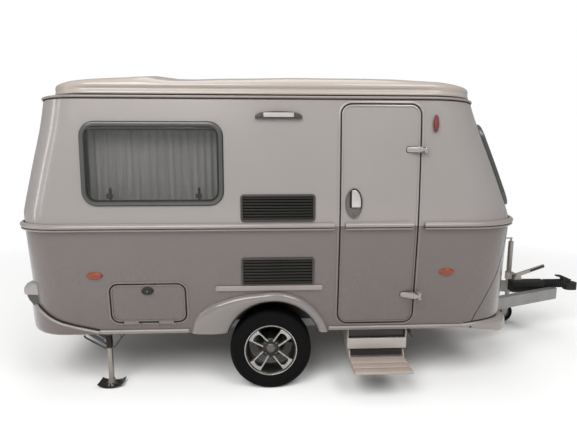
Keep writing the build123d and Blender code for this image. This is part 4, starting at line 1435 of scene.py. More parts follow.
    def build_wells(self) -> None:
        """The black liners round the wheels, ribbed and open to the road."""
        pieces = []
        inner, thick = self.well_radius - 0.002, 0.006
        for side in Side:
            start, end = 0.695, 0.893
            profile = [(start, 0.0), (start, inner)]
            for step in range(10):
                at = start + (end - start) * (step + 0.5) / 10
                profile += [
                    (at - 0.004, inner), (at - 0.002, inner - 0.004), (at + 0.002, inner - 0.004),
                    (at + 0.004, inner),
                ]
            profile += [
                (end, inner), (end, inner - thick), (start + thick, inner - thick), (start + thick, 0.0),
            ]
            liner = Shop.turned(profile, (self.well_x, 0, self.well_z), (0, side.value, 0), 72)
            Shop.cut(liner, Shop.block((-1, -1.3, -0.3), (1, 1.3, 0.446)))
            pieces.append(liner)
        Yard.ship(
            "wheel_liners", Shop.join("liners", pieces), PAINT.black, slot="black_plastic",
            stands_for=["wheel_boxes"],
        )

    def build_bumper(self) -> None:
        """The wrapped lower rear panel, with its rising seam."""
        heights = [0.445, 0.449, 0.455, 0.47, 0.5, 0.54, 0.58, 0.62, 0.645, 0.654, 0.659]
        shape = {0.445: 0.004, 0.449: 0.013, 0.455: 0.018, 0.645: 0.022, 0.654: 0.017, 0.659: 0.006}
        wrap = self.band(heights, lambda z: shape.get(z, 0.022), 0.018)
        zone = [(2.0, 0.2), (self.valance[0][0], 0.2), *self.valance, (-1.66, 1.2), (2.0, 1.2)]
        Shop.cut(wrap, Shop.plate(zone, -1.3, 1.3), overlaps=True)
        Yard.ship("rear_valance", wrap, PAINT.lower, stands_for=["rear_bumper"])
        self.build_valance_bead()

    def valance_route(self, grow: float, lift: float) -> list[Place]:
        """Points along the valance's upper edge, from one side round the rear to the other."""
        near: list[Place] = []
        for (x0, z0), (x1, z1) in zip(self.valance, self.valance[1:]):
            for step in range(5):
                share = step / 5
                x, z = x0 + (x1 - x0) * share, z0 + (z1 - z0) * share + lift
                near.append((x, Form.half_at(x, z, End.REAR) + grow, z))
        x, z = self.valance[-1][0], self.valance[-1][1] + lift
        edge = Form.half_at(x, z, End.REAR)
        middle = []
        for step in range(25):
            y = edge * (1 - 2 * step / 24)
            middle.append((-Form.reach(y, z, End.REAR) - grow, y, z))
        return [*near, *middle, *[(x, -y, z) for x, y, z in reversed(near)]]

    def build_valance_bead(self) -> None:
        """The pale rolled edge of the valance and the dark joint above it."""
        bead = Shop.rod(self.valance_route(0.017, -0.002), 0.0085)
        Yard.ship("valance_bead", bead, PAINT.rail, slot="trim_silver", angle=60)
        joint = Shop.rod(self.valance_route(0.001, 0.0105), 0.004)
        Yard.ship("valance_joint", joint, PAINT.rubber, slot="window_rubber")


# ---------------------------------------------------------------- studio


@dataclass
class Studio:
    """Camera, lights, world and floor."""

    eye: Place = (-2.8048, -3.7556, 1.2332)
    pitch: float = 8.244
    yaw: float = 2.607
    lens: float = 26.63
    lamps: tuple[tuple[str, Place, Place, float, float], ...] = (
        ("key", (-5.2, -5.6, 5.4), (-2.8, 0.0, 0.6), 4.2, 345.0),
        ("fill", (0.6, -5.2, 6.4), (-2.4, 0.0, 0.5), 3.8, 225.0),
        ("top", (-2.8, 0.4, 5.8), (-2.8, 0.0, 0.0), 4.4, 95.0),
        ("rear_strip", (-8.6, -1.6, 1.9), (-4.3, -0.7, 1.1), 0.3, 14.0),
        ("rear_strip_two", (-8.4, -2.9, 2.2), (-4.3, -0.7, 1.3), 0.18, 7.0),
        ("back", (-3.4, 5.4, 4.2), (-2.8, 0.0, 0.6), 5.0, 150.0),
    )

    def build(self) -> None:
        """Sets up everything round the object."""
        self.build_camera()
        self.build_lamps()
        self.build_world()
        self.build_floor()

    def build_camera(self) -> None:
        """Places the camera."""
        Shop.clear()
        turn = Euler((math.radians(90 - self.pitch), 0, math.radians(-self.yaw)))
        bpy.ops.object.camera_add(location=self.eye, rotation=turn)
        camera = bpy.context.object
        camera.data.lens = self.lens
        camera.data.sensor_width = 36.0
        camera.data.sensor_fit = "HORIZONTAL"
        camera.data.clip_end = 200.0
        camera.data.dof.use_dof = False
        bpy.context.scene.camera = camera

    def build_lamps(self) -> None:
        """Places the soft lamps."""
        for name, place, aim, size, power in self.lamps:
            Shop.clear()
            bpy.ops.object.light_add(type="AREA", location=place)
            lamp = bpy.context.object
            lamp.name = name
            lamp.data.size = size
            if size < 1.0:
                lamp.data.shape = "RECTANGLE"
                lamp.data.size_y = 3.4
            lamp.data.energy = power
            lamp.visible_glossy = name != "back"
            lamp.rotation_euler = (Vector(aim) - Vector(place)).to_track_quat("-Z", "Y").to_euler()

    def build_world(self) -> None:
        """A white surround to look at, and a softer one that lights."""
        world = bpy.data.worlds.new("studio")
        world.use_nodes = True
        bpy.context.scene.world = world
        tree = world.node_tree
        tree.nodes.clear()
        path = tree.nodes.new("ShaderNodeLightPath")
        lit = tree.nodes.new("ShaderNodeBackground")
        lit.inputs[0].default_value = (1.0, 0.985, 0.97, 1.0)
        lit.inputs[1].default_value = 0.34
        seen = tree.nodes.new("ShaderNodeBackground")
        seen.inputs[0].default_value = (1.0, 1.0, 1.0, 1.0)
        seen.inputs[1].default_value = 1.0
        most = tree.nodes.new("ShaderNodeMath")
        most.operation = "MAXIMUM"
        tree.links.new(path.outputs["Is Camera Ray"], most.inputs[0])
        tree.links.new(path.outputs["Is Transmission Ray"], most.inputs[1])
        mix = tree.nodes.new("ShaderNodeMixShader")
        tree.links.new(most.outputs[0], mix.inputs[0])
        tree.links.new(lit.outputs[0], mix.inputs[1])
        tree.links.new(seen.outputs[0], mix.inputs[2])
        out = tree.nodes.new("ShaderNodeOutputWorld")
        tree.links.new(mix.outputs[0], out.inputs[0])

    def build_floor(self) -> None:
        """A pale floor that fades to white away from the shadow."""
        Shop.clear()
        bpy.ops.mesh.primitive_plane_add(size=60.0, location=(AXLE_X, 0, GROUND_Z))
        floor = Shop.name("floor")
        board = Board("floor_white")
        path = board.add("ShaderNodeLightPath", output="Is Camera Ray")
        place = board.place()
        far = board.add("ShaderNodeVectorMath", {"operation": "LENGTH"}, {0: place}, output="Value")
        fade = board.ramp(far * 0.1, (0.3, 0.0), (0.62, 1.0))
        shade = board.add(
            "ShaderNodeBsdfDiffuse", values={"Color": (0.93, 0.93, 0.93, 1.0), "Roughness": 0.5},
        )
        white = board.add("ShaderNodeEmission", values={"Color": (1.0, 1.0, 1.0, 1.0), "Strength": 1.0})
        mix = board.add("ShaderNodeMixShader", values={0: fade * path, 1: shade, 2: white})
        board.add("ShaderNodeOutputMaterial", values={"Surface": mix})
        floor.data.materials.append(board.material)


# ---------------------------------------------------------------- windows


@dataclass
class WindowSet:
    """Hinged acrylic windows: dark band frame, bulged pane, top hinge and latches."""

    frame_width: float = 0.034
    proud: float = 0.014

    def build(self) -> None:
        """Builds every window."""
        lay = {side: (lambda piece, s=side: Form.on_side(piece, s)) for side in Side}
        self.window("side_window_right", SIDE_WINDOW, lay[Side.RIGHT], 0.0, True)
        self.window("side_window_left", SIDE_WINDOW, lay[Side.LEFT], 0.0, True)
        self.window("kitchen_window", KITCHEN_WINDOW, lay[Side.LEFT], 0.0, True)
        self.window("front_window", FRONT_WINDOW, lambda piece: Form.on_end(piece, End.FRONT), 0.02, False)
        self.window("rear_window", REAR_WINDOW, lambda piece: Form.on_end(piece, End.REAR), 0.006, True)
        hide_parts("window_frames")
        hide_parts("window_panes")

    def window(self, name: str, opening: Opening, lay: Callable, lift: float, latched: bool) -> None:
        """One window.

        Args:
            name: start of its pieces' names.
            opening: its outline.
            lay: lays a flat piece on the wall.
            lift: extra stand-off from the wall.
            latched: adds inside latches.
        """
        frame = opening.ring(0.0, -self.frame_width, -0.004, self.proud + lift, 10)
        Shop.bevel(frame, 0.0045, 3, SMOOTH)
        Shop.dice(frame, 0.07, "xz")
        Yard.ship(f"{name}_frame", lay(frame), PAINT.window, slot="window_rubber", angle=SMOOTH)
        gasket = opening.ring(
            -self.frame_width + 0.0095, -self.frame_width - 0.002, 0.002, self.proud + lift + 0.0012, 10,
        )
        Shop.bevel(gasket, 0.0012, 2, SMOOTH)
        Shop.dice(gasket, 0.07, "xz")
        Yard.ship(f"{name}_gasket", lay(gasket), PAINT.rubber, slot="window_rubber", angle=SMOOTH)
        seal = opening.ring(0.005, -0.006, 0.0, 0.005, 10)
        Shop.dice(seal, 0.07, "xz")
        Yard.ship(f"{name}_seal", lay(seal), PAINT.rubber, slot="window_rubber")
        self.pane(name, opening, lay, lift)
        hinge = opening.plate(0.0, 0.006, -0.03)
        Shop.between(hinge, opening.top - 0.052, opening.top - 0.036)
        for vertex in hinge.data.vertices:
            vertex.co.y += self.proud + lift - 0.002
        Shop.bevel(hinge, 0.002, 2, SMOOTH)
        Shop.dice(hinge, 0.1, "x")
        Yard.ship(f"{name}_hinge", lay(hinge), PAINT.black, slot="window_rubber")
        if latched:
            catches = []
            count = 2 if opening.high - opening.low < 1.0 else 3
            for step in range(count):
                x = opening.low + (opening.high - opening.low) * (0.18 + 0.64 * step / (count - 1))
                body = Shop.block(
                    (x - 0.019, -0.036, opening.bottom + 0.04), (x + 0.019, -0.01, opening.bottom + 0.072),
                    0.005, 3,
                )
                arm = Shop.block(
                    (x - 0.008, -0.046, opening.bottom + 0.03), (x + 0.008, -0.032, opening.bottom + 0.11),
                    0.004, 3,
                )
                catches += [body, arm]
            Yard.ship(f"{name}_latches", lay(Shop.join("latches", catches)), PAINT.black, slot="vent_plastic")

    def pane(self, name: str, opening: Opening, lay: Callable, lift: float) -> None:
        """The pane: nearly flat round its edge, crowned in the middle."""
        pane = opening.plate(0.0, 0.004, -0.031, 10)
        Shop.dice(pane, 0.045, "xz")
        middle_x, middle_z = (opening.low + opening.high) / 2, (opening.bottom + opening.top) / 2
        half_x, half_z = (opening.high - opening.low) / 2, (opening.top - opening.bottom) / 2
        for vertex in pane.data.vertices:
            u, w = (vertex.co.x - middle_x) / half_x, (vertex.co.z - middle_z) / half_z
            crown = max(0.0, (1 - u**4)) * max(0.0, (1 - w**4))
            vertex.co.y += self.proud + lift - 0.008 + 0.01 * min(1.0, crown * 1.5)
        paint = PAINT.front_pane if lift > 0.01 else PAINT.pane
        Yard.ship(f"{name}_pane", lay(pane), paint, slot="acrylic", angle=60)


@dataclass
class Curtains:
    """Pleated curtains drawn across the cabin windows."""

    pleat: float = 0.052
    depth: float = 0.013

    def build(self) -> None:
        """Hangs a curtain behind each window, and its rail."""
        for side in Side:
            self.hang(f"curtain_{side.name.lower()}", SIDE_WINDOW, side)
        self.hang("curtain_kitchen", KITCHEN_WINDOW, Side.LEFT)
        self.hang("curtain_rear", REAR_WINDOW, End.REAR)
        self.hang("curtain_front", FRONT_WINDOW, End.FRONT)

    def folds(self, along: float, fall: float) -> float:
        """Depth of the pleats at a place.

        Args:
            along: distance along the rail.
            fall: nought at the rail, one at the hem.

        Returns:
            Depth of the fold.
        """
        wander = 0.35 * math.sin(along * 9.0) + 0.25 * math.sin(along * 23.0 + 1.0)
        wave = math.sin(math.tau * (along + 0.012 * fall * math.sin(along * 7)) / self.pleat + wander)
        return self.depth * (0.75 + 0.45 * fall) * (
            wave + 0.25 * math.sin(math.tau * along / self.pleat * 2.3 + 0.7 * wander)
        )

    def cut_width(self, width: float, top: float, bottom: float) -> tuple[float, float]:
        """Flat size of a curtain."""
        steps = 1600
        length = 0.0
        for step in range(steps):
            one, two = width * step / steps, width * (step + 1) / steps
            length += math.hypot(two - one, self.folds(two, 0.5) - self.folds(one, 0.5))
        return (length, top - bottom)

    def hang(self, name: str, opening: Opening, wall: Side | End) -> None:
        """One curtain and its rail.

        Args:
            name: the piece's name.
            opening: the window that it covers.
            wall: the wall that the window is in.
        """
        low, high = opening.low + 0.015, opening.high - 0.015
        top, bottom = opening.top - 0.045, opening.bottom - 0.01
        width = high - low
        on_side = isinstance(wall, Side)
        if on_side:
            plane = Form.half(top) - 0.075
        else:
            plane = min(Form.reach(low, top, wall), Form.reach(0.0, top, wall)) - 0.085

        def lay(along: float, out: float, z: float) -> Place:
            """A place by its distance along the wall, out from the middle and up."""
            return (along, wall.value * out, z) if on_side else (wall.value * out, along, z)

        def shape(u: float, v: float) -> Place:
            """A place on the cloth."""
            return lay(low + width * u, plane + self.folds(width * u, v), top + (bottom - top) * v)

        cloth = Shop.surface(int(width / 0.004), 14, shape)
        if wall is Side.RIGHT:
            Shop.edit(cloth)
            bpy.ops.mesh.flip_normals()
            Shop.clear()
        piece = Yard.ship(name, cloth, PAINT.curtain, slot="", angle=80)
        rail = Shop.rod([lay(low - 0.02, plane, top + 0.004), lay(high + 0.02, plane, top + 0.004)], 0.006)
        Yard.ship(f"{name}_rail", rail, PAINT.zinc, slot="zinc")
        self.cut_width(width, top, bottom)


# ---------------------------------------------------------------- vents


@dataclass
class Vents:
    """The two slatted fridge vents."""

    slats: int = 8
    proud: float = 0.009

    def build(self) -> None:
        """Builds both."""
        self.vent("vent_upper", UPPER_VENT)
        self.vent("vent_lower", LOWER_VENT)
        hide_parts("vent_grilles")

    def vent(self, name: str, opening: Opening) -> None:
        """One vent: frame, tilted slats and a black plate behind them that paints the shade in the gaps.

        Args:
            name: start of its pieces' names.
            opening: its outline.
        """
        frame = opening.ring(0.0, -0.015, -0.002, self.proud)
        Shop.bevel(frame, 0.0025, 2, SMOOTH)
        Yard.ship(
            f"{name}_frame", Form.on_side(Shop.dice(frame, 0.12, "z"), Side.RIGHT), PAINT.vent,
            slot="vent_plastic", angle=SMOOTH,
        )
        low, high = opening.bottom + 0.015, opening.top - 0.015
        pitch = (high - low) / self.slats
        blades = []
        for index in range(self.slats):
            z = low + (index + 0.5) * pitch
            blade = Shop.block(
                (opening.low + 0.012, -0.012, z - pitch * 0.3),
                (opening.high - 0.012, 0.005, z + pitch * 0.26), 0.0018, 2,
            )
            for vertex in blade.data.vertices:
                vertex.co.z -= vertex.co.y * 0.55
            blades.append(blade)
        Yard.ship(
            f"{name}_slats", Form.on_side(Shop.join("slats", blades), Side.RIGHT), PAINT.slat,
            slot="vent_plastic", angle=SMOOTH,
        )
        posts = []
        for share in (0.25, 0.5, 0.75):
            x = opening.low + (opening.high - opening.low) * share
            posts.append(Shop.block((x - 0.002, -0.02, low), (x + 0.002, -0.008, high), 0.0006, 1))
        Yard.ship(
            f"{name}_posts", Form.on_side(Shop.join("posts", posts), Side.RIGHT), PAINT.slat,
            slot="vent_plastic",
        )
        # A black plate behind the slats paints the shade of the recess, so the gaps read dark.
        back = opening.plate(-0.036, -0.03, 0.004)
        Yard.ship(
            f"{name}_back", Form.on_side(Shop.dice(back, 0.12, "z"), Side.RIGHT), PAINT.black,
            slot="black_plastic",
        )


# ---------------------------------------------------------------- entrance door


@dataclass
class Entrance:
    """The entrance door with its frame, seals, handle and hinges."""

    pin_x: float = 1.018
    pin_y: float = 0.99
    hinge_heights: tuple[float, float] = (0.703, 1.696)
    split: tuple[float, float] = (1.1913, 1.1907)

    def build(self) -> None:
        """Builds the fixed frame and everything on the door."""
        # The lower frame wears the darker frame finish, which is painted shade below the belt.
        for word, low, high, finish in (
            ("upper", self.split[0], 2.1, PAINT.frame), ("lower", 0.3, self.split[1], PAINT.frame_painted_shade),
        ):
            rim = DOOR.ring(0.013, 0.0, SLAB_BACK, 0.005, 10)
            Shop.bevel(rim, 0.002, 2, SMOOTH)
            Shop.between(rim, low, high)
            Shop.dice(rim, 0.06, "z")
            Yard.ship(
                f"door_frame_{word}", Form.on_side(rim, Side.RIGHT), finish, slot="trim_silver", angle=SMOOTH,
            )
        seal = DOOR.ring(0.0, -0.0085, -0.029, -0.004, 10)
        Shop.dice(seal, 0.06, "z")
        Yard.ship("door_seal", Form.on_side(seal, Side.RIGHT), PAINT.rubber, slot="window_rubber")
        self.build_leaf()
        self.build_handle()
        self.build_hinges()
        self.build_inside()

    def leaf(self, low: float, high: float) -> bpy.types.Object:
        """The door's slab between two heights, with a raised lip round its edge."""
        slab = DOOR.plate(SLAB_BACK, 0.0, -PANEL_GAP, 10)
        lip = DOOR.ring(-PANEL_GAP, -PANEL_GAP - 0.012, 0.0, 0.0045, 10)
        Shop.between(slab, low, high)
        Shop.between(lip, low, high)
        Shop.bevel(lip, 0.0018, 2, SMOOTH)
        return Form.on_side(Shop.dice(Shop.join("leaf", [slab, lip]), 0.035, "z"), Side.RIGHT)

    def build_leaf(self) -> None:
        """Upper and lower halves of the slab; the lower half wears the darker body paint, which is painted
        shade.
        """
        Yard.ship(
            "door_upper", self.leaf(self.split[0], 2.1), PAINT.upper, "door", stands_for=["door_panel"],
            angle=SMOOTH,
        )
        Yard.ship("door_lower", self.leaf(0.3, self.split[1]), PAINT.lower, "door", angle=SMOOTH)

    def build_inside(self) -> None:
        """Inner face of the door: its lining, a bin and a pull."""
        card = DOOR.plate(-0.034, -0.029, -0.028, 8)
        Yard.ship(
            "door_lining", Form.on_side(Shop.dice(card, 0.06, "z"), Side.RIGHT), PAINT.lining, "door",
            angle=SMOOTH,
        )
        box = Shop.block((0.56, -0.09, 0.6), (0.9, -0.034, 0.8), 0.012, 3)
        Shop.cut(box, Shop.block((0.575, -0.08, 0.62), (0.885, -0.044, 0.9)))
        pull = Shop.block((0.515, -0.058, 1.28), (0.545, -0.034, 1.44), 0.006, 3)
        Yard.ship(
            "door_bin", Form.on_side(Shop.join("bin", [box, pull]), Side.RIGHT), PAINT.black, "door",
            "vent_plastic",
        )

    def build_handle(self) -> None:
        """Oval recessed handle with a paddle."""
        middle_x, middle_z = 0.555, 1.3445
        outline = Lamps.oval(middle_x, middle_z, 0.058, 0.1015, 56)
        inner = Lamps.oval(middle_x, middle_z, 0.0515, 0.095, 56)
        ring = Shop.cut(Shop.plate(outline, -0.001, 0.01), Shop.plate(inner, -0.1, 0.1))
        Shop.bevel(ring, 0.0025, 3, SMOOTH)
        Yard.ship(
            "handle_ring", Form.on_side(ring, Side.RIGHT), PAINT.bowl, "door", "vent_plastic",
            ["door_handle"], angle=50,
        )
        bowl = Shop.plate(inner, 0.0005, 0.004)
        Yard.ship("handle_bowl", Form.on_side(bowl, Side.RIGHT), PAINT.bowl, "door", "vent_plastic")
        slot = Shop.plate(
            rounded(middle_x - 0.029, middle_x - 0.012, middle_z - 0.03, middle_z + 0.08, 0.006, 4), 0.0035,
            0.0052,
        )
        rim = Shop.cut(
            Shop.plate(inner, 0.0, 0.0125),
            Shop.plate(Lamps.oval(middle_x, middle_z, 0.048, 0.0915, 56), -0.1, 0.1),
        )
        Shop.cut(
            rim, Shop.block((middle_x - 0.2, -1, middle_z - 0.2), (middle_x - 0.012, 1, middle_z + 0.2)),
            Shop.block((middle_x - 0.2, -1, middle_z - 0.2), (middle_x + 0.2, 1, middle_z - 0.034)),
        )
        Yard.ship(
            "handle_slot", Form.on_side(Shop.join("slot", [slot, rim]), Side.RIGHT), PAINT.black, "door",
            "vent_plastic",
        )
        grip = [(middle_x - 0.016, middle_z - 0.026)]
        for step in range(25):
            turn = -0.297 + (1.935 + 0.297) * step / 24
            grip.append((middle_x + 0.045 * math.cos(turn), middle_z + 0.089 * math.sin(turn)))
        paddle = Shop.plate(grip, 0.0045, 0.0175)
        Shop.bevel(paddle, 0.004, 3, SMOOTH)
        Yard.ship(
            "handle_paddle", Form.on_side(paddle, Side.RIGHT), PAINT.paddle, "door", "trim_silver", angle=60,
        )
        lock = Shop.turned(
            [(0.0, 0.0), (0.0, 0.0085), (0.006, 0.0085), (0.008, 0.007), (0.008, 0.0)], (0.556, 0.004, 1.272),
            steps=24,
        )
        Yard.ship("handle_lock", Form.on_side(lock, Side.RIGHT), PAINT.bowl, "door", "vent_plastic")

    def build_hinges(self) -> None:
        """Each hinge: a tapered leaf on the door, its knuckle, the pin and two lugs on the wall."""
        leaves, posts, pins, gaskets = [], [], [], []
        for height in self.hinge_heights:
            off = self.pin_y - Form.half(height)
            leaf = Shop.plate(
                rounded(0.899, 0.996, height - 0.0185, height + 0.0185, 0.014, 6), 0.0005, 0.007,
            )
            Shop.dice(leaf, 0.016, "x")
            for vertex in leaf.data.vertices:
                if vertex.co.y > 0.003:
                    share = max(0.0, (vertex.co.x - 0.899) / 0.097)
                    vertex.co.y = 0.007 + (off - 0.004) * smooth_step(share)
            Shop.bevel(leaf, 0.003, 2, SMOOTH)
            leaves.append(Form.on_side(leaf, Side.RIGHT))
            # A black plate a little larger than the leaf draws a dark outline round it.
            gasket = Shop.plate(
                rounded(0.8955, 0.99, height - 0.022, height + 0.022, 0.017, 6), -0.0005, 0.002,
            )
            gaskets.append(Form.on_side(gasket, Side.RIGHT))
            tongue = Shop.block(
                (0.975, -self.pin_y - 0.0045, height - 0.0115),
                (self.pin_x, -self.pin_y + 0.0045, height + 0.0115), 0.002, 2,
            )
            leaves.append(tongue)
            knuckle = Shop.turned(
                [
                    (-0.0115, 0.0052), (-0.0115, 0.0092), (-0.0105, 0.01), (0.0105, 0.01), (0.0115, 0.0092),
                    (0.0115, 0.0052),
                ],
                (self.pin_x, -self.pin_y, height), (0, 0, 1), 28,
            )
            leaves.append(knuckle)
            pins.append(
                Shop.turned(
                    [
                        (-0.0235, 0.0), (-0.0235, 0.005), (-0.022, 0.0065), (-0.021, 0.0048), (0.021, 0.0048),
                        (0.022, 0.0065), (0.0235, 0.005), (0.0235, 0.0),
                    ],
                    (self.pin_x, -self.pin_y, height), (0, 0, 1), 20,
                )
            )
            for low in (height - 0.0205, height + 0.0125):
                lug = Shop.block(
                    (self.pin_x - 0.01, -self.pin_y - 0.01, low),
                    (self.pin_x + 0.013, -Form.half(height) + 0.002, low + 0.008), 0.002, 2,
                )
                posts.append(lug)
            base = Shop.plate(
                rounded(self.pin_x - 0.007, self.pin_x + 0.026, height - 0.0195, height + 0.0195, 0.01, 6),
                0.0, 0.008,
            )
            Shop.bevel(base, 0.002, 2, SMOOTH)
            posts.append(Form.on_side(base, Side.RIGHT))
        Yard.ship(
            "door_hinge_leaves", Shop.join("leaves", leaves), PAINT.frame, "door", "cast_black",
            ["door_hinges"], angle=45,
        )
        Yard.ship(
            "door_hinge_lugs", Shop.join("lugs", posts), PAINT.frame, slot="cast_black",
            stands_for=["hinge_posts"], angle=45,
        )
        Yard.ship("door_hinge_pins", Shop.join("pins", pins), PAINT.zinc, slot="zinc")
        Yard.ship("door_hinge_gaskets", Shop.join("gaskets", gaskets), PAINT.rubber, "door", "window_rubber")


# ---------------------------------------------------------------- locker flap and gas lid


@dataclass
class Flaps:
    """The side service flap and the front gas locker lid."""

    pin_y: float = 0.93
    pin_z: float = 0.52
    hinge_places: tuple[float, float] = (-0.947, -0.711)
    hinge_half: float = 0.062

    def build(self) -> None:
        """Builds both."""
        self.build_service()
        self.build_gas()

    @staticmethod
    def lid(opening: Opening) -> bpy.types.Object:
        """A flat lid with a raised, rounded rim."""
        slab = opening.plate(SLAB_BACK, 0.0, -PANEL_GAP, 10)
        rim = opening.ring(-PANEL_GAP, -PANEL_GAP - 0.011, 0.0, 0.005, 10)
        Shop.bevel(rim, 0.002, 3, SMOOTH)
        return Shop.join("lid", [slab, rim])

    def build_service(self) -> None:
        """The service flap: pale frame, lid, bottom hinges and an oval lock."""
        frame = SERVICE.ring(0.012, 0.0, SLAB_BACK, 0.005, 10)
        Shop.bevel(frame, 0.002, 2, SMOOTH)
        Yard.ship(
            "service_frame", Form.on_side(Shop.dice(frame, 0.05, "z"), Side.RIGHT), PAINT.frame_painted_shade,
            slot="trim_silver", angle=SMOOTH,
        )
        seal = SERVICE.ring(0.0, -0.0085, -0.029, -0.004, 10)
        Yard.ship(
            "service_seal", Form.on_side(Shop.dice(seal, 0.05, "z"), Side.RIGHT), PAINT.rubber,
            slot="window_rubber",
        )
        lid = Form.on_side(Shop.dice(self.lid(SERVICE), 0.04, "z"), Side.RIGHT)
        Yard.ship(
            "service_lid", lid, PAINT.lower, "service_locker", stands_for=["service_flap"], angle=SMOOTH,
        )
        fittings, pins = [], []
        for x in self.hinge_places:
            centre = (x, -self.pin_y, self.pin_z)
            half = self.hinge_half - 0.011
            fittings.append(
                Shop.turned(
                    [(-half, 0.0032), (-half, 0.0058), (half, 0.0058), (half, 0.0032)], centre, (1, 0, 0), 20,
                )
            )
            fittings.append(
                Shop.block(
                    (x - half, -self.pin_y - 0.006, self.pin_z + 0.003),
                    (x + half, -self.pin_y + 0.001, self.pin_z + 0.02), 0.0015, 2,
                )
            )
            pins.append(
                Shop.turned(
                    [(-half - 0.01, 0.0), (-half - 0.01, 0.0028), (half + 0.01, 0.0028), (half + 0.01, 0.0)],
                    centre, (1, 0, 0), 16,
                )
            )
            for low in (x - half - 0.011, x + half + 0.002):
                pins.append(
                    Shop.block(
                        (low, -self.pin_y - 0.006, self.pin_z - 0.014),
                        (low + 0.009, -0.915, self.pin_z + 0.004), 0.0015, 2,
                    )
                )
        Yard.ship(
            "service_hinges", Shop.join("hinges", fittings), PAINT.frame_painted_shade, "service_locker", "cast_black",
            ["flap_fittings"], angle=SMOOTH,
        )
        Yard.ship(
            "service_hinge_pins", Shop.join("pins", pins), PAINT.frame_painted_shade, slot="zinc",
            stands_for=["flap_pins"], angle=SMOOTH,
        )
        lock = Shop.plate(Lamps.oval(-0.827, 0.754, 0.04, 0.027, 32), -0.001, 0.013)
        Shop.bevel(lock, 0.005, 3, SMOOTH)
        Yard.ship(
            "service_lock", Form.on_side(lock, Side.RIGHT), PAINT.black, "service_locker", "cast_black",
            angle=50,
        )
        slot = Shop.turned(
            [(0.0, 0.0), (0.0, 0.008), (0.003, 0.007), (0.003, 0.0)], (-0.827, 0.0125, 0.754), steps=24,
        )
        Yard.ship("service_lock_barrel", Form.on_side(slot, Side.RIGHT), PAINT.hub, "service_locker", "zinc")

    def build_gas(self) -> None:
        """The front gas locker lid with two hinges and a latch."""
        frame = LOCKER.ring(0.012, 0.0, SLAB_BACK, 0.005, 10)
        Yard.ship(
            "gas_frame", Form.on_end(Shop.dice(frame, 0.06, "xz"), End.FRONT), PAINT.frame_painted_shade,
            slot="trim_silver", angle=SMOOTH,
        )
        lid = Form.on_end(Shop.dice(self.lid(LOCKER), 0.06, "xz"), End.FRONT)
        Yard.ship("gas_lid", lid, PAINT.lower, "gas_locker", stands_for=["locker_lid"], angle=SMOOTH)
        x, z = 1.811, 0.905
        leaves, pins = [], []
        for y in (-0.33, 0.33):
            leaves.append(
                Shop.turned(
                    [(-0.03, 0.0032), (-0.03, 0.0065), (0.03, 0.0065), (0.03, 0.0032)], (x, y, z), (0, 1, 0),
                    20,
                )
            )
            leaves.append(
                Shop.block((x - 0.016, y - 0.03, z - 0.044), (x - 0.001, y + 0.03, z - 0.004), 0.002, 2)
            )
            pins.append(
                Shop.turned(
                    [(-0.044, 0.0), (-0.044, 0.0028), (0.044, 0.0028), (0.044, 0.0)], (x, y, z), (0, 1, 0),
                    16,
                )
            )
            for low in (y - 0.044, y + 0.034):
                pins.append(
                    Shop.block((x - 0.03, low, z - 0.004), (x + 0.006, low + 0.01, z + 0.012), 0.002, 2)
                )
        Yard.ship(
            "gas_hinges", Shop.join("leaves", leaves), PAINT.frame_painted_shade, "gas_locker", "cast_black",
            ["lid_hinges"], angle=SMOOTH,
        )
        Yard.ship(
            "gas_hinge_pins", Shop.join("pins", pins), PAINT.frame_painted_shade, slot="zinc", stands_for=["lid_pins"],
            angle=SMOOTH,
        )
        latch = Shop.block((-0.06, 0.0, 0.575), (0.06, 0.014, 0.625), 0.006, 3)
        Yard.ship(
            "gas_latch", Form.on_end(Shop.dice(latch, 0.03, "x"), End.FRONT), PAINT.black, "gas_locker",
            "cast_black", angle=50,
        )


# ---------------------------------------------------------------- lamps


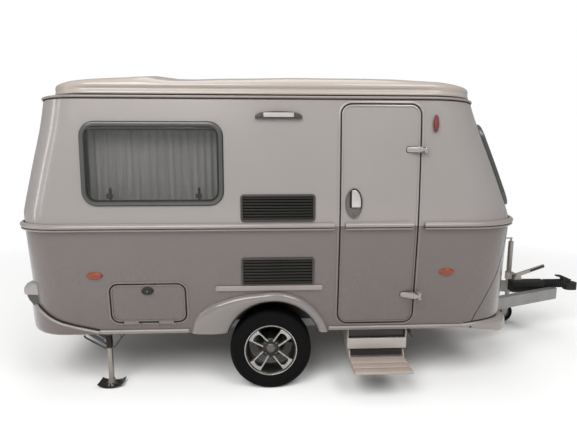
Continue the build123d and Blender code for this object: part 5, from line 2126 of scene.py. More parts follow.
@dataclass
class Lamps:
    """Side markers, the awning light and the rear lamp pods."""

    amber: tuple[Point, ...] = ((-1.1675, 0.865), (1.2135, 0.863))
    red: Point = (1.085, 1.864)
    hood: tuple[Point, ...] = (
        (-1.5, 0.795), (-1.62, 0.795), (-1.665, 0.79), (-1.7, 0.775), (-1.718, 0.752), (-1.7215, 0.732),
        (-1.716, 0.712), (-1.5, 0.7),
    )
    cluster: tuple[Point, ...] = (
        (-1.5, 0.716), (-1.706, 0.716), (-1.706, 0.7), (-1.694, 0.672), (-1.672, 0.64), (-1.648, 0.612),
        (-1.622, 0.594), (-1.5, 0.594),
    )
    stop: tuple[Point, ...] = ((-1.6, 0.7), (-1.7095, 0.7), (-1.695, 0.664), (-1.682, 0.645), (-1.6, 0.645))

    def build(self) -> None:
        """Builds them all."""
        self.build_markers()
        self.build_awning_light()
        self.build_pods()

    @staticmethod
    def oval(x: float, z: float, wide: float, tall: float, steps: int = 36) -> list[Point]:
        """An oval outline."""
        return [
            (x + wide * math.cos(math.tau * i / steps), z + tall * math.sin(math.tau * i / steps))
            for i in range(steps)
        ]

    @staticmethod
    def leaf_shape(x: float, z: float, wide: float, tall: float, steps: int = 28) -> list[Point]:
        """An upright outline with blunt pointed ends."""
        points = []
        for step in range(steps):
            turn = math.tau * step / steps
            across, up = math.cos(turn), math.sin(turn)
            points.append((x + wide * math.copysign(abs(across) ** 1.25, across), z + tall * up))
        return points

    def build_markers(self) -> None:
        """Amber and red side lamps on their bases."""
        bases, backs, ambers, reds = [], [], [], []
        for side in Side:
            for x, z in self.amber:
                base = Shop.plate(self.oval(x, z, 0.054, 0.0265), -0.001, 0.005)
                Shop.bevel(base, 0.002, 2, SMOOTH)
                backs.append(Form.on_side(base, side))
                lens = Shop.plate(self.oval(x, z, 0.05, 0.023), 0.003, 0.014)
                Shop.bevel(lens, 0.0085, 5, SMOOTH)
                ambers.append(Form.on_side(lens, side))
            x, z = self.red
            base = Shop.plate(self.leaf_shape(x, z, 0.0205, 0.062), -0.001, 0.007)
            Shop.bevel(base, 0.003, 3, SMOOTH)
            bases.append(Form.on_side(base, side))
            lens = Shop.plate(self.leaf_shape(x + 0.002, z, 0.0165, 0.056), 0.004, 0.022)
            Shop.bevel(lens, 0.007, 4, SMOOTH)
            reds.append(Form.on_side(lens, side))
        Yard.ship(
            "marker_bases", Shop.join("bases", bases), PAINT.lamp_base, slot="vent_plastic",
            stands_for=["marker_lamps"], angle=50,
        )
        Yard.ship("marker_backs", Shop.join("backs", backs), PAINT.amber, slot="lens_red", angle=50)
        Yard.ship("marker_amber", Shop.join("ambers", ambers), PAINT.amber, slot="lens_red", angle=60)
        Yard.ship("marker_red", Shop.join("reds", reds), PAINT.red, slot="lens_red", angle=60)

    def build_awning_light(self) -> None:
        """The half-moon awning light over its pale lens."""
        low, high, bottom, top = -0.093, 0.212, 1.893, 1.939
        outline = [(low, bottom), (high, bottom)]
        for step in range(1, 24):
            turn = math.pi * step / 24
            arch = math.sin(turn) ** 0.55
            outline.append(
                ((low + high) / 2 + (high - low) / 2 * math.cos(turn), bottom + (top - bottom) * arch)
            )
        shade = Shop.plate(outline, -0.001, 0.026)
        Shop.bevel(shade, 0.006, 4, SMOOTH)
        dressed = Form.on_side(Shop.dice(shade, 0.05, "x"), Side.RIGHT)
        Yard.ship(
            "awning_light_housing", dressed, PAINT.vent, stands_for=["awning_light"], slot="vent_plastic",
            angle=50,
        )
        lens = Shop.plate(
            rounded(low + 0.055, high - 0.055, bottom + 0.007, top - 0.01, 0.004, 4), 0.018, 0.03,
        )
        Shop.bevel(lens, 0.003, 3, SMOOTH)
        Yard.ship("awning_light_lens", Form.on_side(lens, Side.RIGHT), PAINT.clear, slot="acrylic", angle=50)

    def corner_block(
        self, outline: Sequence[Point], near: float, far: float, round_off: float,
    ) -> bpy.types.Object:
        """Extrudes a side outline across the rear wall and draws its outer side forward.

        Args:
            outline: the block seen from the side.
            near: inner side's distance from the middle.
            far: outer side's distance from the middle.
            round_off: bevel of its edges.

        Returns:
            The block, on the left side.
        """
        block = Shop.plate(outline, near, far)
        Shop.dice(block, 0.022, "y")
        for vertex in block.data.vertices:
            outer = max(0.0, (vertex.co.y - (far - 0.11)) / 0.11)
            vertex.co.x += 0.04 * outer**2.2
        Shop.bevel(block, round_off, 4, SMOOTH)
        return Shop.outward(block)

    def build_pods(self) -> None:
        """Rear pods: a pale hood over a smoked, hatched lens cluster on each corner."""
        hoods, lenses, reds = [], [], []
        for side in Side:
            for outline, near, far, edge, pile in (
                (self.hood, 0.615, 0.862, 0.01, hoods),
                (self.cluster, 0.625, 0.855, 0.006, lenses),
                (self.stop, 0.66, 0.76, 0.005, reds),
            ):
                block = self.corner_block(outline, near, far, edge)
                body = Form.shell([0.5 + 0.05 * step for step in range(9)], -0.004)
                Shop.cut(block, Shop.close_ends(body))
                if side is Side.RIGHT:
                    block.data.transform(Matrix.Scale(-1, 4, (0, 1, 0)))
                    Shop.outward(block)
                pile.append(block)
        Yard.ship("tail_pods", Shop.join("hoods", hoods), PAINT.upper, stands_for=["tail_lamps"], angle=50)
        Yard.ship(
            "tail_clusters", Shop.join("clusters", lenses), PAINT.smoke, slot="lens_red",
            stands_for=["tail_lenses"], angle=50,
        )
        Yard.ship("tail_stop_lamps", Shop.join("stops", reds), PAINT.red, slot="lens_red", angle=50)


# ---------------------------------------------------------------- trims


@dataclass
class Trims:
    """Small rails and the flared front corner mouldings."""

    corner_line: tuple[Point, ...] = (
        (1.369, 0.4765), (1.45, 0.489), (1.53, 0.492), (1.605, 0.489), (1.69, 0.485),
    )

    def build(self) -> None:
        """Builds the rail over each arch and the front corner mouldings."""
        beads = []
        for side in Side:
            bead = Shop.plate(rounded(-0.37, 0.355, 0.747, 0.783, 0.006, 4), -0.001, 0.014)
            Shop.bevel(bead, 0.005, 4, SMOOTH)
            beads.append(Form.on_side(Shop.dice(bead, 0.1, "x"), side))
        Yard.ship(
            "arch_rails", Shop.join("beads", beads), PAINT.rail, slot="trim_silver",
            stands_for=["side_trims"], angle=50,
        )
        self.build_corners()

    def corner_station(self, share: float) -> tuple[Point, Point, float, float, float]:
        """One station of the moulding on its way round the corner.

        Args:
            share: nought on the side wall, one on the front wall.

        Returns:
            Its place in plan, the wall's outward direction, low and high edges, and stand-off.
        """
        z = 0.447
        radius = 0.38
        pivot = (Form.reach(0.538, z, End.FRONT) - radius, Form.half(z) - radius)
        turn = -0.12 + (math.pi / 2 * 0.9 + 0.12) * share
        if turn < 0:
            spot, way = (pivot[0] + radius * turn, pivot[1] + radius), (1.0, 0.0)
        else:
            spot, way = (
                pivot[0] + radius * math.sin(turn), pivot[1] + radius * math.cos(turn),
            ), (math.cos(turn), math.sin(turn))
        table = (
            (0.0, 0.446, 0.4755, 0.014), (0.16, 0.436, 0.487, 0.02), (0.36, 0.414, 0.49, 0.028),
            (0.52, 0.388, 0.484, 0.038), (0.66, 0.362, 0.48, 0.05), (0.84, 0.362, 0.472, 0.046),
            (1.0, 0.392, 0.462, 0.02),
        )
        values = [ease([(row[0], row[column]) for row in table], share) for column in (1, 2, 3)]
        return spot, way, values[0], values[1], values[2]

    def build_corners(self) -> None:
        """The mouldings that wrap round the lower front corners and flare upwards."""
        pieces = []
        for side in Side:
            rows: list[list[Place]] = []
            for station in range(49):
                spot, (across, ahead), low, high, out = self.corner_station(station / 48)
                middle, tall = (low + high) / 2, (high - low) / 2
                row: list[Place] = []
                for step in range(15):
                    turn = math.pi / 2 - math.pi * step / 14
                    push = -0.004 + (out + 0.004) * abs(math.cos(turn)) ** 0.65
                    z = middle + tall * math.copysign(abs(math.sin(turn)) ** 0.85, math.sin(turn))
                    row.append((spot[0] + ahead * push, side.value * (spot[1] + across * push), z))
                rows.append(row)
            pieces.append(Bodywork.capped(Shop.rings(rows)))
        Yard.ship(
            "front_corner_trims", Shop.join("corners", pieces), PAINT.rail, slot="body_silver", angle=50,
        )
        line: list[Place] = []
        for (x0, z0), (x1, z1) in zip(self.corner_line, self.corner_line[1:]):
            for step in range(6):
                x, z = x0 + (x1 - x0) * step / 6, z0 + (z1 - z0) * step / 6 + 0.003
                line.append((x, Form.half_at(x, z, End.FRONT) + 0.001, z))
        joints = []
        for side in Side:
            joints.append(Shop.rod([(x, side.value * y, z) for x, y, z in line], 0.0035))
        Yard.ship("front_corner_joints", Shop.join("joints", joints), PAINT.rubber, slot="window_rubber")
        screws = []
        for side in Side:
            screw = Shop.turned(
                [(0.0, 0.0), (0.0, 0.007), (0.003, 0.006), (0.004, 0.0)], (1.412, 0.0205, 0.4575), steps=16,
            )
            screws.append(Form.on_side(screw, side))
        Yard.ship("trim_screws", Shop.join("screws", screws), PAINT.rim_black, slot="cast_black")


# ---------------------------------------------------------------- wheels


@dataclass
class Wheel:
    """One road wheel: tyre with tread, black barrel, machined twin spokes, cap and nuts."""

    side: Side
    track: float = 0.816
    radius: float = 0.29
    width: float = 0.175
    rim: float = 0.185

    def build(self) -> None:
        """Builds tyre and rim."""
        word = self.side.name.lower()
        centre = (0.0, self.side.value * self.track, self.radius)
        axis = (0.0, float(self.side.value), 0.0)
        Yard.ship(
            f"tyre_{word}_rubber", self.tyre(centre, axis), PAINT.tyre, f"wheel_{word}", "tyre",
            [f"tyre_{word}"], angle=SMOOTH,
        )
        barrel, spokes, cap = self.rim_pieces(centre, axis)
        Yard.ship(
            f"rim_{word}_barrel", barrel, PAINT.rim_black, f"wheel_{word}", "alloy", [f"rim_{word}"],
            angle=SMOOTH,
        )
        Yard.ship(f"rim_{word}_spokes", spokes, PAINT.alloy, f"wheel_{word}", "alloy", angle=SMOOTH)
        Yard.ship(f"rim_{word}_cap", cap, PAINT.hub, f"wheel_{word}", "alloy", angle=50)

    def tyre(self, centre: Place, axis: Place) -> bpy.types.Object:
        """Carcass with four grooves, and shoulder blocks parted by cuts."""
        half, r = self.width / 2, self.radius
        profile: list[Point] = [
            (-half + 0.02, self.rim - 0.001), (-half + 0.011, self.rim + 0.004),
            (-half + 0.005, self.rim + 0.02), (-half + 0.0005, self.rim + 0.045),
        ]
        profile += [
            (-half, self.rim + 0.06), (-half + 0.002, self.rim + 0.062), (-half + 0.002, self.rim + 0.066),
            (-half, self.rim + 0.068),
        ]
        profile += [(-half + 0.004, r - 0.024), (-half + 0.011, r - 0.012), (-half + 0.02, r - 0.005)]
        grooves = (-0.042, -0.014, 0.014, 0.042)
        for place in grooves:
            top = r - 0.0016 * (place / 0.042) ** 2
            profile += [
                (place - 0.005, top), (place - 0.0035, top - 0.008), (place + 0.0035, top - 0.008),
                (place + 0.005, top),
            ]
        mirror = [(-x, radius) for x, radius in reversed(profile[:11])]
        profile += mirror
        tyre = Shop.turned(profile, centre, axis, 120)
        cuts = []
        count = 60
        for index in range(count):
            turn = math.tau * index / count
            for sign in (-1, 1):
                cut = Shop.block(
                    (-0.0016, sign * 0.066 - 0.021, r - 0.0075), (0.0016, sign * 0.066 + 0.021, r + 0.01),
                )
                cut.data.transform(Matrix.Rotation(sign * 0.3, 4, "Z"))
                cut.data.transform(Matrix.Rotation(turn + sign * 0.02, 4, "Y"))
                cuts.append(cut)
        sipes = Shop.join("sipes", cuts)
        sipes.data.transform(Matrix.Translation(centre))
        return Shop.cut(tyre, sipes)

    def rim_pieces(self, centre: Place, axis: Place) -> tuple[
        bpy.types.Object, bpy.types.Object, bpy.types.Object,
    ]:
        """The barrel, the machined face and the hub cap with its nuts."""
        half, r = self.width / 2, self.rim
        barrel_profile = [
            (half - 0.014, r - 0.002), (half - 0.008, r - 0.003), (half - 0.006, r - 0.007),
            (half - 0.01, r - 0.013), (half - 0.03, r - 0.021),
            (0.03, r - 0.03), (-0.045, r - 0.028), (-half + 0.014, r - 0.012), (-half + 0.01, r - 0.003),
            (-half + 0.018, r - 0.001),
            (-half + 0.03, r - 0.01), (-0.045, r - 0.02), (0.03, r - 0.022), (half - 0.028, r - 0.012),
        ]
        barrel = Shop.turned(barrel_profile, centre, axis, 96)
        disc = Shop.turned(
            [(-0.06, 0.018), (-0.06, 0.1), (-0.05, 0.108), (0.008, 0.075), (0.012, 0.018)], centre, axis, 64,
        )
        flange = half - 0.007
        hub = Shop.turned(
            [(0.01, 0.0), (0.01, 0.075), (0.03, 0.07), (0.036, 0.062), (0.038, 0.0)], centre, axis, 64,
        )
        face = half - 0.012
        pieces = []
        ring = [
            (flange - 0.008, r - 0.008), (flange - 0.001, r - 0.0075), (flange + 0.001, r - 0.004),
            (flange, r + 0.001), (flange - 0.006, r + 0.0015), (flange - 0.008, r),
        ]
        pieces.append(Shop.turned(ring, (0, 0, 0), (0, 1, 0), 120))
        for quarter in range(4):
            turn = 90.0 * quarter
            web = [self.polar(0.1795, turn + 32.0 + 31.0 * step / 12) for step in range(13)]
            web += [
                self.polar(radius, turn + angle)
                for radius, angle in (
                    (0.17, 64.5), (0.143, 64.5), (0.139, 61.5), (0.148, 55.0), (0.15, 47.5), (0.148, 40.0),
                    (0.139, 33.5), (0.143, 30.5), (0.17, 30.5),
                )
            ]
            plate = Shop.plate(web, face - 0.016, face)
            Shop.bevel(plate, 0.002, 2, SMOOTH)
            pieces.append(Shop.outward(plate))
            for start, stop in (((0.056, 72.0), (0.16, 62.2)), ((0.058, 19.0), (0.16, 32.8))):
                pieces.append(
                    self.spoke(
                        self.polar(start[0], turn + start[1]), self.polar(stop[0], turn + stop[1]), face,
                    )
                )
        spokes = Shop.join("spokes", pieces)
        nuts = []
        for index in range(4):
            x, z = self.polar(0.0545, 45.0 + 90.0 * index)
            nuts.append(
                Shop.turned(
                    [(0.034, 0.0), (0.034, 0.008), (0.044, 0.008), (0.047, 0.006), (0.047, 0.0)], (x, 0.0, z),
                    (0, 1, 0), 6,
                )
            )
        cap = Shop.turned(
            [
                (0.034, 0.0), (0.034, 0.033), (0.042, 0.033), (0.046, 0.0305), (0.049, 0.024), (0.05, 0.016),
                (0.0485, 0.012), (0.0505, 0.0),
            ],
            (0, 0, 0), (0, 1, 0), 48,
        )
        cap_piece = Shop.join("cap", [cap] + nuts)
        place = Matrix.Translation(centre) @ (
            Matrix.Identity(4) if self.side is Side.LEFT else Matrix.Rotation(math.pi, 4, "Z")
        )
        for piece in (spokes, cap_piece):
            piece.data.transform(place)
        return Shop.join("barrel", [barrel, disc, hub]), spokes, cap_piece

    @staticmethod
    def polar(radius: float, degrees: float) -> Point:
        """A point on the wheel's face, turning anticlockwise as seen from outside."""
        turn = math.radians(degrees)
        return (-radius * math.cos(turn), radius * math.sin(turn))

    @staticmethod
    def spoke(start: Point, stop: Point, face: float) -> bpy.types.Object:
        """A thin spoke that drops towards the hub.

        Args:
            start: its inner end.
            stop: its outer end.
            face: depth of the wheel's face.

        Returns:
            The spoke.
        """
        length = math.dist(start, stop)
        bar = Shop.plate([(0.0, -0.0056), (length, -0.0046), (length, 0.0046), (0.0, 0.0056)], 0.0, 0.022)
        Shop.dice(bar, 0.012, "x")
        for vertex in bar.data.vertices:
            share = min(1.0, max(0.0, vertex.co.x / length))
            vertex.co.y += face - 0.022 - 0.022 * (1 - share) ** 1.3
        Shop.bevel(bar, 0.0016, 2, 50)
        lean = math.atan2(stop[1] - start[1], stop[0] - start[0])
        bar.data.transform(Matrix.Translation((start[0], 0, start[1])) @ Matrix.Rotation(-lean, 4, "Y"))
        return Shop.outward(bar)


# ---------------------------------------------------------------- underneath and ahead


@dataclass
class Undercarriage:
    """Corner steadies, entry step, jockey wheel, coupling and chassis details."""

    pin_z: float = 0.405
    leg_places: tuple[tuple[str, float, float, float], ...] = (
        ("rear", -1.16, 0.785, 0.0), ("front", 1.45, 0.66, 85.0),
    )

    def build(self) -> None:
        """Builds them all."""
        self.build_steadies()
        self.build_step()
        self.build_jockey()
        self.build_coupling()
        self.build_pipes()

    def build_steadies(self) -> None:
        """The four legs with dished feet, and the struts and links beside them."""
        self.build_links()
        for end, x, y, fold in self.leg_places:
            for side in Side:
                name = f"steady_{end}_{side.name.lower()}"
                turn = Matrix.Translation(
                    (x, side.value * y, self.pin_z)
                ) @ Matrix.Rotation(math.radians(fold), 4, "Y")
                pieces = (
                    ("leg", self.leg(), PAINT.zinc, "zinc"), ("sleeve", self.sleeve(), PAINT.cast, "zinc"),
                    ("foot", self.foot(), PAINT.foot, "black_plastic"),
                    ("boss", self.boss(), PAINT.boss, "zinc"),
                )
                for word, piece, finish, slot in pieces:
                    piece.data.transform(turn)
                    Yard.ship(
                        f"{name}_{word}", piece, finish, name, slot, [name] if word == "leg" else [],
                        angle=SMOOTH,
                    )

    def build_links(self) -> None:
        """Painted stays from the frame down to each leg's side, clear of its swing."""
        rods = []
        for end, x, y, _fold in self.leg_places:
            way = 1 if end == "rear" else -1
            for side in Side:
                for cheek in (-1, 1):
                    near = side.value * y + cheek * 0.0285
                    rods.append(
                        Shop.rod(
                            [
                                (x - way * 0.164, near, 0.392), (x - way * 0.155, near, 0.376),
                                (x - way * 0.014, near, 0.288),
                            ] if end == "rear" else [(x + 0.12, near, 0.428), (x + 0.03, near, 0.385)],
                            0.0062,
                        )
                    )
                    if end == "rear":
                        rods.append(
                            Shop.rod(
                                [(x + 0.097, near, 0.392), (x + 0.092, near, 0.366), (x + 0.04, near, 0.298)],
                                0.0052,
                            )
                        )
        Yard.ship("steady_links", Shop.join("links", rods), PAINT.strut, slot="zinc", angle=50)

    def leg(self) -> bpy.types.Object:
        """Lower tube of a leg, with its pin."""
        leg = Shop.block((-0.015, -0.016, -self.pin_z + 0.034), (0.015, 0.016, -0.1), 0.0035, 3)
        pin = Shop.turned(
            [
                (-0.031, 0.0), (-0.031, 0.007), (-0.026, 0.007), (-0.026, 0.0055), (0.026, 0.0055),
                (0.026, 0.007), (0.031, 0.007), (0.031, 0.0),
            ],
            (0, 0, 0), (0, 1, 0), 20,
        )
        return Shop.join("leg", [leg, pin])

    def sleeve(self) -> bpy.types.Object:
        """Upper channel that the tube slides in, open to the rear."""
        sleeve = Shop.block((-0.018, -0.0185, -0.118), (0.018, 0.0185, 0.01), 0.003, 2)
        return Shop.cut(sleeve, Shop.block((0.004, -0.0145, -0.09), (0.03, 0.0145, -0.012)))

    def foot(self) -> bpy.types.Object:
        """Oblong pad, dished and turned up at both ends, with ribs under the boss."""
        floor = -self.pin_z
        rows = 16

        def shape(u: float, v: float) -> Place:
            """A place on the pad."""
            x = 0.0865 * (2 * u - 1)
            wide = 0.052 + 0.008 * math.cos(math.pi * (2 * u - 1) / 2)
            y = wide * (2 * v - 1)
            lift = 0.026 * abs(2 * u - 1) ** 2.6 + 0.004 * abs(2 * v - 1) ** 3
            return (x, y, floor + lift)

        pad = Shop.surface(rows, rows, shape)
        Shop.apply(pad, "SOLIDIFY", thickness=0.006, offset=0.0, use_even_offset=True)
        for vertex in pad.data.vertices:
            vertex.co.z = max(vertex.co.z, floor)
        ribs = [
            Shop.block((-0.06, y - 0.0022, floor + 0.002), (0.06, y + 0.0022, floor + 0.024), 0.001, 1)
            for y in (-0.026, 0.026)
        ]
        ribs.append(Shop.block((-0.0022, -0.046, floor + 0.002), (0.0022, 0.046, floor + 0.022), 0.001, 1))
        return Shop.join("foot", [Shop.outward(pad), *ribs])

    def boss(self) -> bpy.types.Object:
        """Tapered socket between the leg and its pad."""
        floor = -self.pin_z
        return Shop.turned(
            [
                (floor + 0.004, 0.0), (floor + 0.004, 0.036), (floor + 0.012, 0.034), (floor + 0.03, 0.025),
                (floor + 0.046, 0.0235), (floor + 0.049, 0.021), (floor + 0.049, 0.0),
            ],
            (0, 0, 0), (0, 0, 1), 36,
        )

    def build_step(self) -> None:
        """Fascia, side plates, riser and the drawn-out board of three planks."""
        fascia = Shop.block((0.545, -0.901, 0.291), (0.97, -0.886, 0.368), 0.005, 3)
        plates = [fascia]
        for x in (0.549, 0.966):
            plates.append(Shop.block((x - 0.003, -0.898, 0.3), (x + 0.003, -0.592, 0.443), 0.0015, 1))
            plates.append(Shop.block((x - 0.012, -0.88, 0.425), (x + 0.012, -0.6, 0.4435), 0.003, 2))
        Yard.ship(
            "step_fascia", Shop.join("plates", plates), PAINT.step, slot="step_aluminium",
            stands_for=["step_frame"],
        )
        riser = Shop.block((0.572, -0.8845, 0.2345), (0.943, -0.8795, 0.3), 0.001, 1)
        header = Shop.block((0.552, -0.88, 0.366), (0.963, -0.8, 0.44), 0.004, 2)
        Yard.ship("step_riser", Shop.join("riser", [riser, header]), PAINT.rim_black, slot="black_plastic")
        planks = []
        for near, far in ((-1.12, -1.068), (-1.054, -1.0), (-0.986, -0.895)):
            planks.append(Shop.block((0.56, near, 0.209), (0.955, far, 0.2285), 0.0045, 3))
        for x in (0.563, 0.952):
            arm = Shop.plate(
                [
                    (-1.105, 0.206), (-0.92, 0.2), (-0.88, 0.206), (-0.64, 0.258), (-0.64, 0.278),
                    (-0.88, 0.278), (-0.92, 0.2095), (-1.105, 0.2095),
                ],
                -0.003, 0.003,
            )
            arm.data.transform(Matrix(((0, 1, 0, x), (1, 0, 0, 0), (0, 0, 1, 0), (0, 0, 0, 1))))
            planks.append(Shop.outward(arm))
        Yard.ship(
            "step_board", Shop.join("tread", planks), PAINT.plank, "step", "step_aluminium", ["step_tread"],
        )
        # A black plate under the planks paints the shade in the gaps between them.
        under = Shop.block((0.568, -1.112, 0.2055), (0.947, -0.9, 0.2105), 0.001, 1)
        Yard.ship("step_underside", under, PAINT.rim_black, "step", "black_plastic")

    def build_jockey(self) -> None:
        """Tyre and hub of the jockey wheel, and the crank grip."""
        x, y = 2.37 - 0.045, 0.262
        tyre = Shop.turned(
            [
                (-0.028, 0.06), (-0.029, 0.082), (-0.022, 0.096), (-0.01, 0.1), (0.01, 0.1), (0.022, 0.096),
                (0.029, 0.082), (0.028, 0.06),
            ],
            (x, y, 0.1), steps=48,
        )
        hub = Shop.turned(
            [
                (-0.029, 0.01), (-0.029, 0.024), (-0.012, 0.03), (-0.012, 0.056), (-0.024, 0.059),
                (-0.024, 0.0635), (0.024, 0.0635), (0.024, 0.059), (0.012, 0.056), (0.012, 0.03),
                (0.029, 0.024), (0.029, 0.01),
            ],
            (x, y, 0.1), steps=40,
        )
        Yard.ship("jockey_tyre", tyre, PAINT.tyre, "jockey_roller", "tyre", ["jockey_wheel"], angle=45)
        Yard.ship("jockey_hub", hub, PAINT.zinc, "jockey_roller", "zinc", angle=45)
        grip = Shop.turned(
            [
                (0.862, 0.008), (0.864, 0.011), (0.9, 0.0125), (0.93, 0.011), (0.937, 0.008), (0.938, 0.0),
                (0.862, 0.0),
            ],
            (2.37 - 0.098, y, 0.0), (0, 0, 1), 24,
        )
        Yard.ship("crank_grip", grip, PAINT.black, slot="black_plastic")

    def build_coupling(self) -> None:
        """Coupling latch, gaiter and handbrake grip."""
        gaiter_profile = [(2.545, 0.026)]
        for index in range(9):
            at = 2.552 + index * 0.021
            gaiter_profile += [(at, 0.03), (at + 0.006, 0.04), (at + 0.013, 0.04), (at + 0.019, 0.03)]
        gaiter_profile += [(2.748, 0.026)]
        gaiter = Shop.turned(gaiter_profile, (0, 0, 0.471), (1, 0, 0), 40)
        Yard.ship("coupling_gaiter", gaiter, PAINT.rubber, slot="window_rubber", angle=SMOOTH)
        latch = Shop.plate(
            [
                (2.735, 0.478), (2.792, 0.484), (2.815, 0.507), (2.72, 0.548), (2.672, 0.552), (2.668, 0.538),
                (2.715, 0.53),
            ],
            -0.02, 0.02,
        )
        Shop.bevel(latch, 0.005, 3, SMOOTH)
        Yard.ship("coupling_latch", latch, PAINT.cast, slot="cast_black")
        grip = Shop.rod([(2.3 + 0.115, 0.0, 0.595), (2.3 + 0.24, 0.0, 0.638)], 0.0135)
        Yard.ship("handbrake_grip", grip, PAINT.black, slot="black_plastic")

    def build_pipes(self) -> None:
        """The gas and water pipes below the floor."""
        pipes = [
            Shop.rod(
                [
                    (-1.3, 0.3, 0.436), (-0.6, 0.3, 0.436), (-0.4, 0.18, 0.436), (0.9, 0.18, 0.436),
                    (1.1, 0.3, 0.436),
                ],
                0.006,
            ),
            Shop.rod(
                [(-0.95, -0.42, 0.432), (-0.3, -0.42, 0.432), (0.3, -0.3, 0.432), (1.0, -0.3, 0.432)], 0.009,
            ),
        ]
        Yard.ship("floor_pipes", Shop.join("pipes", pipes), PAINT.black, slot="black_plastic")


# ---------------------------------------------------------------- roof


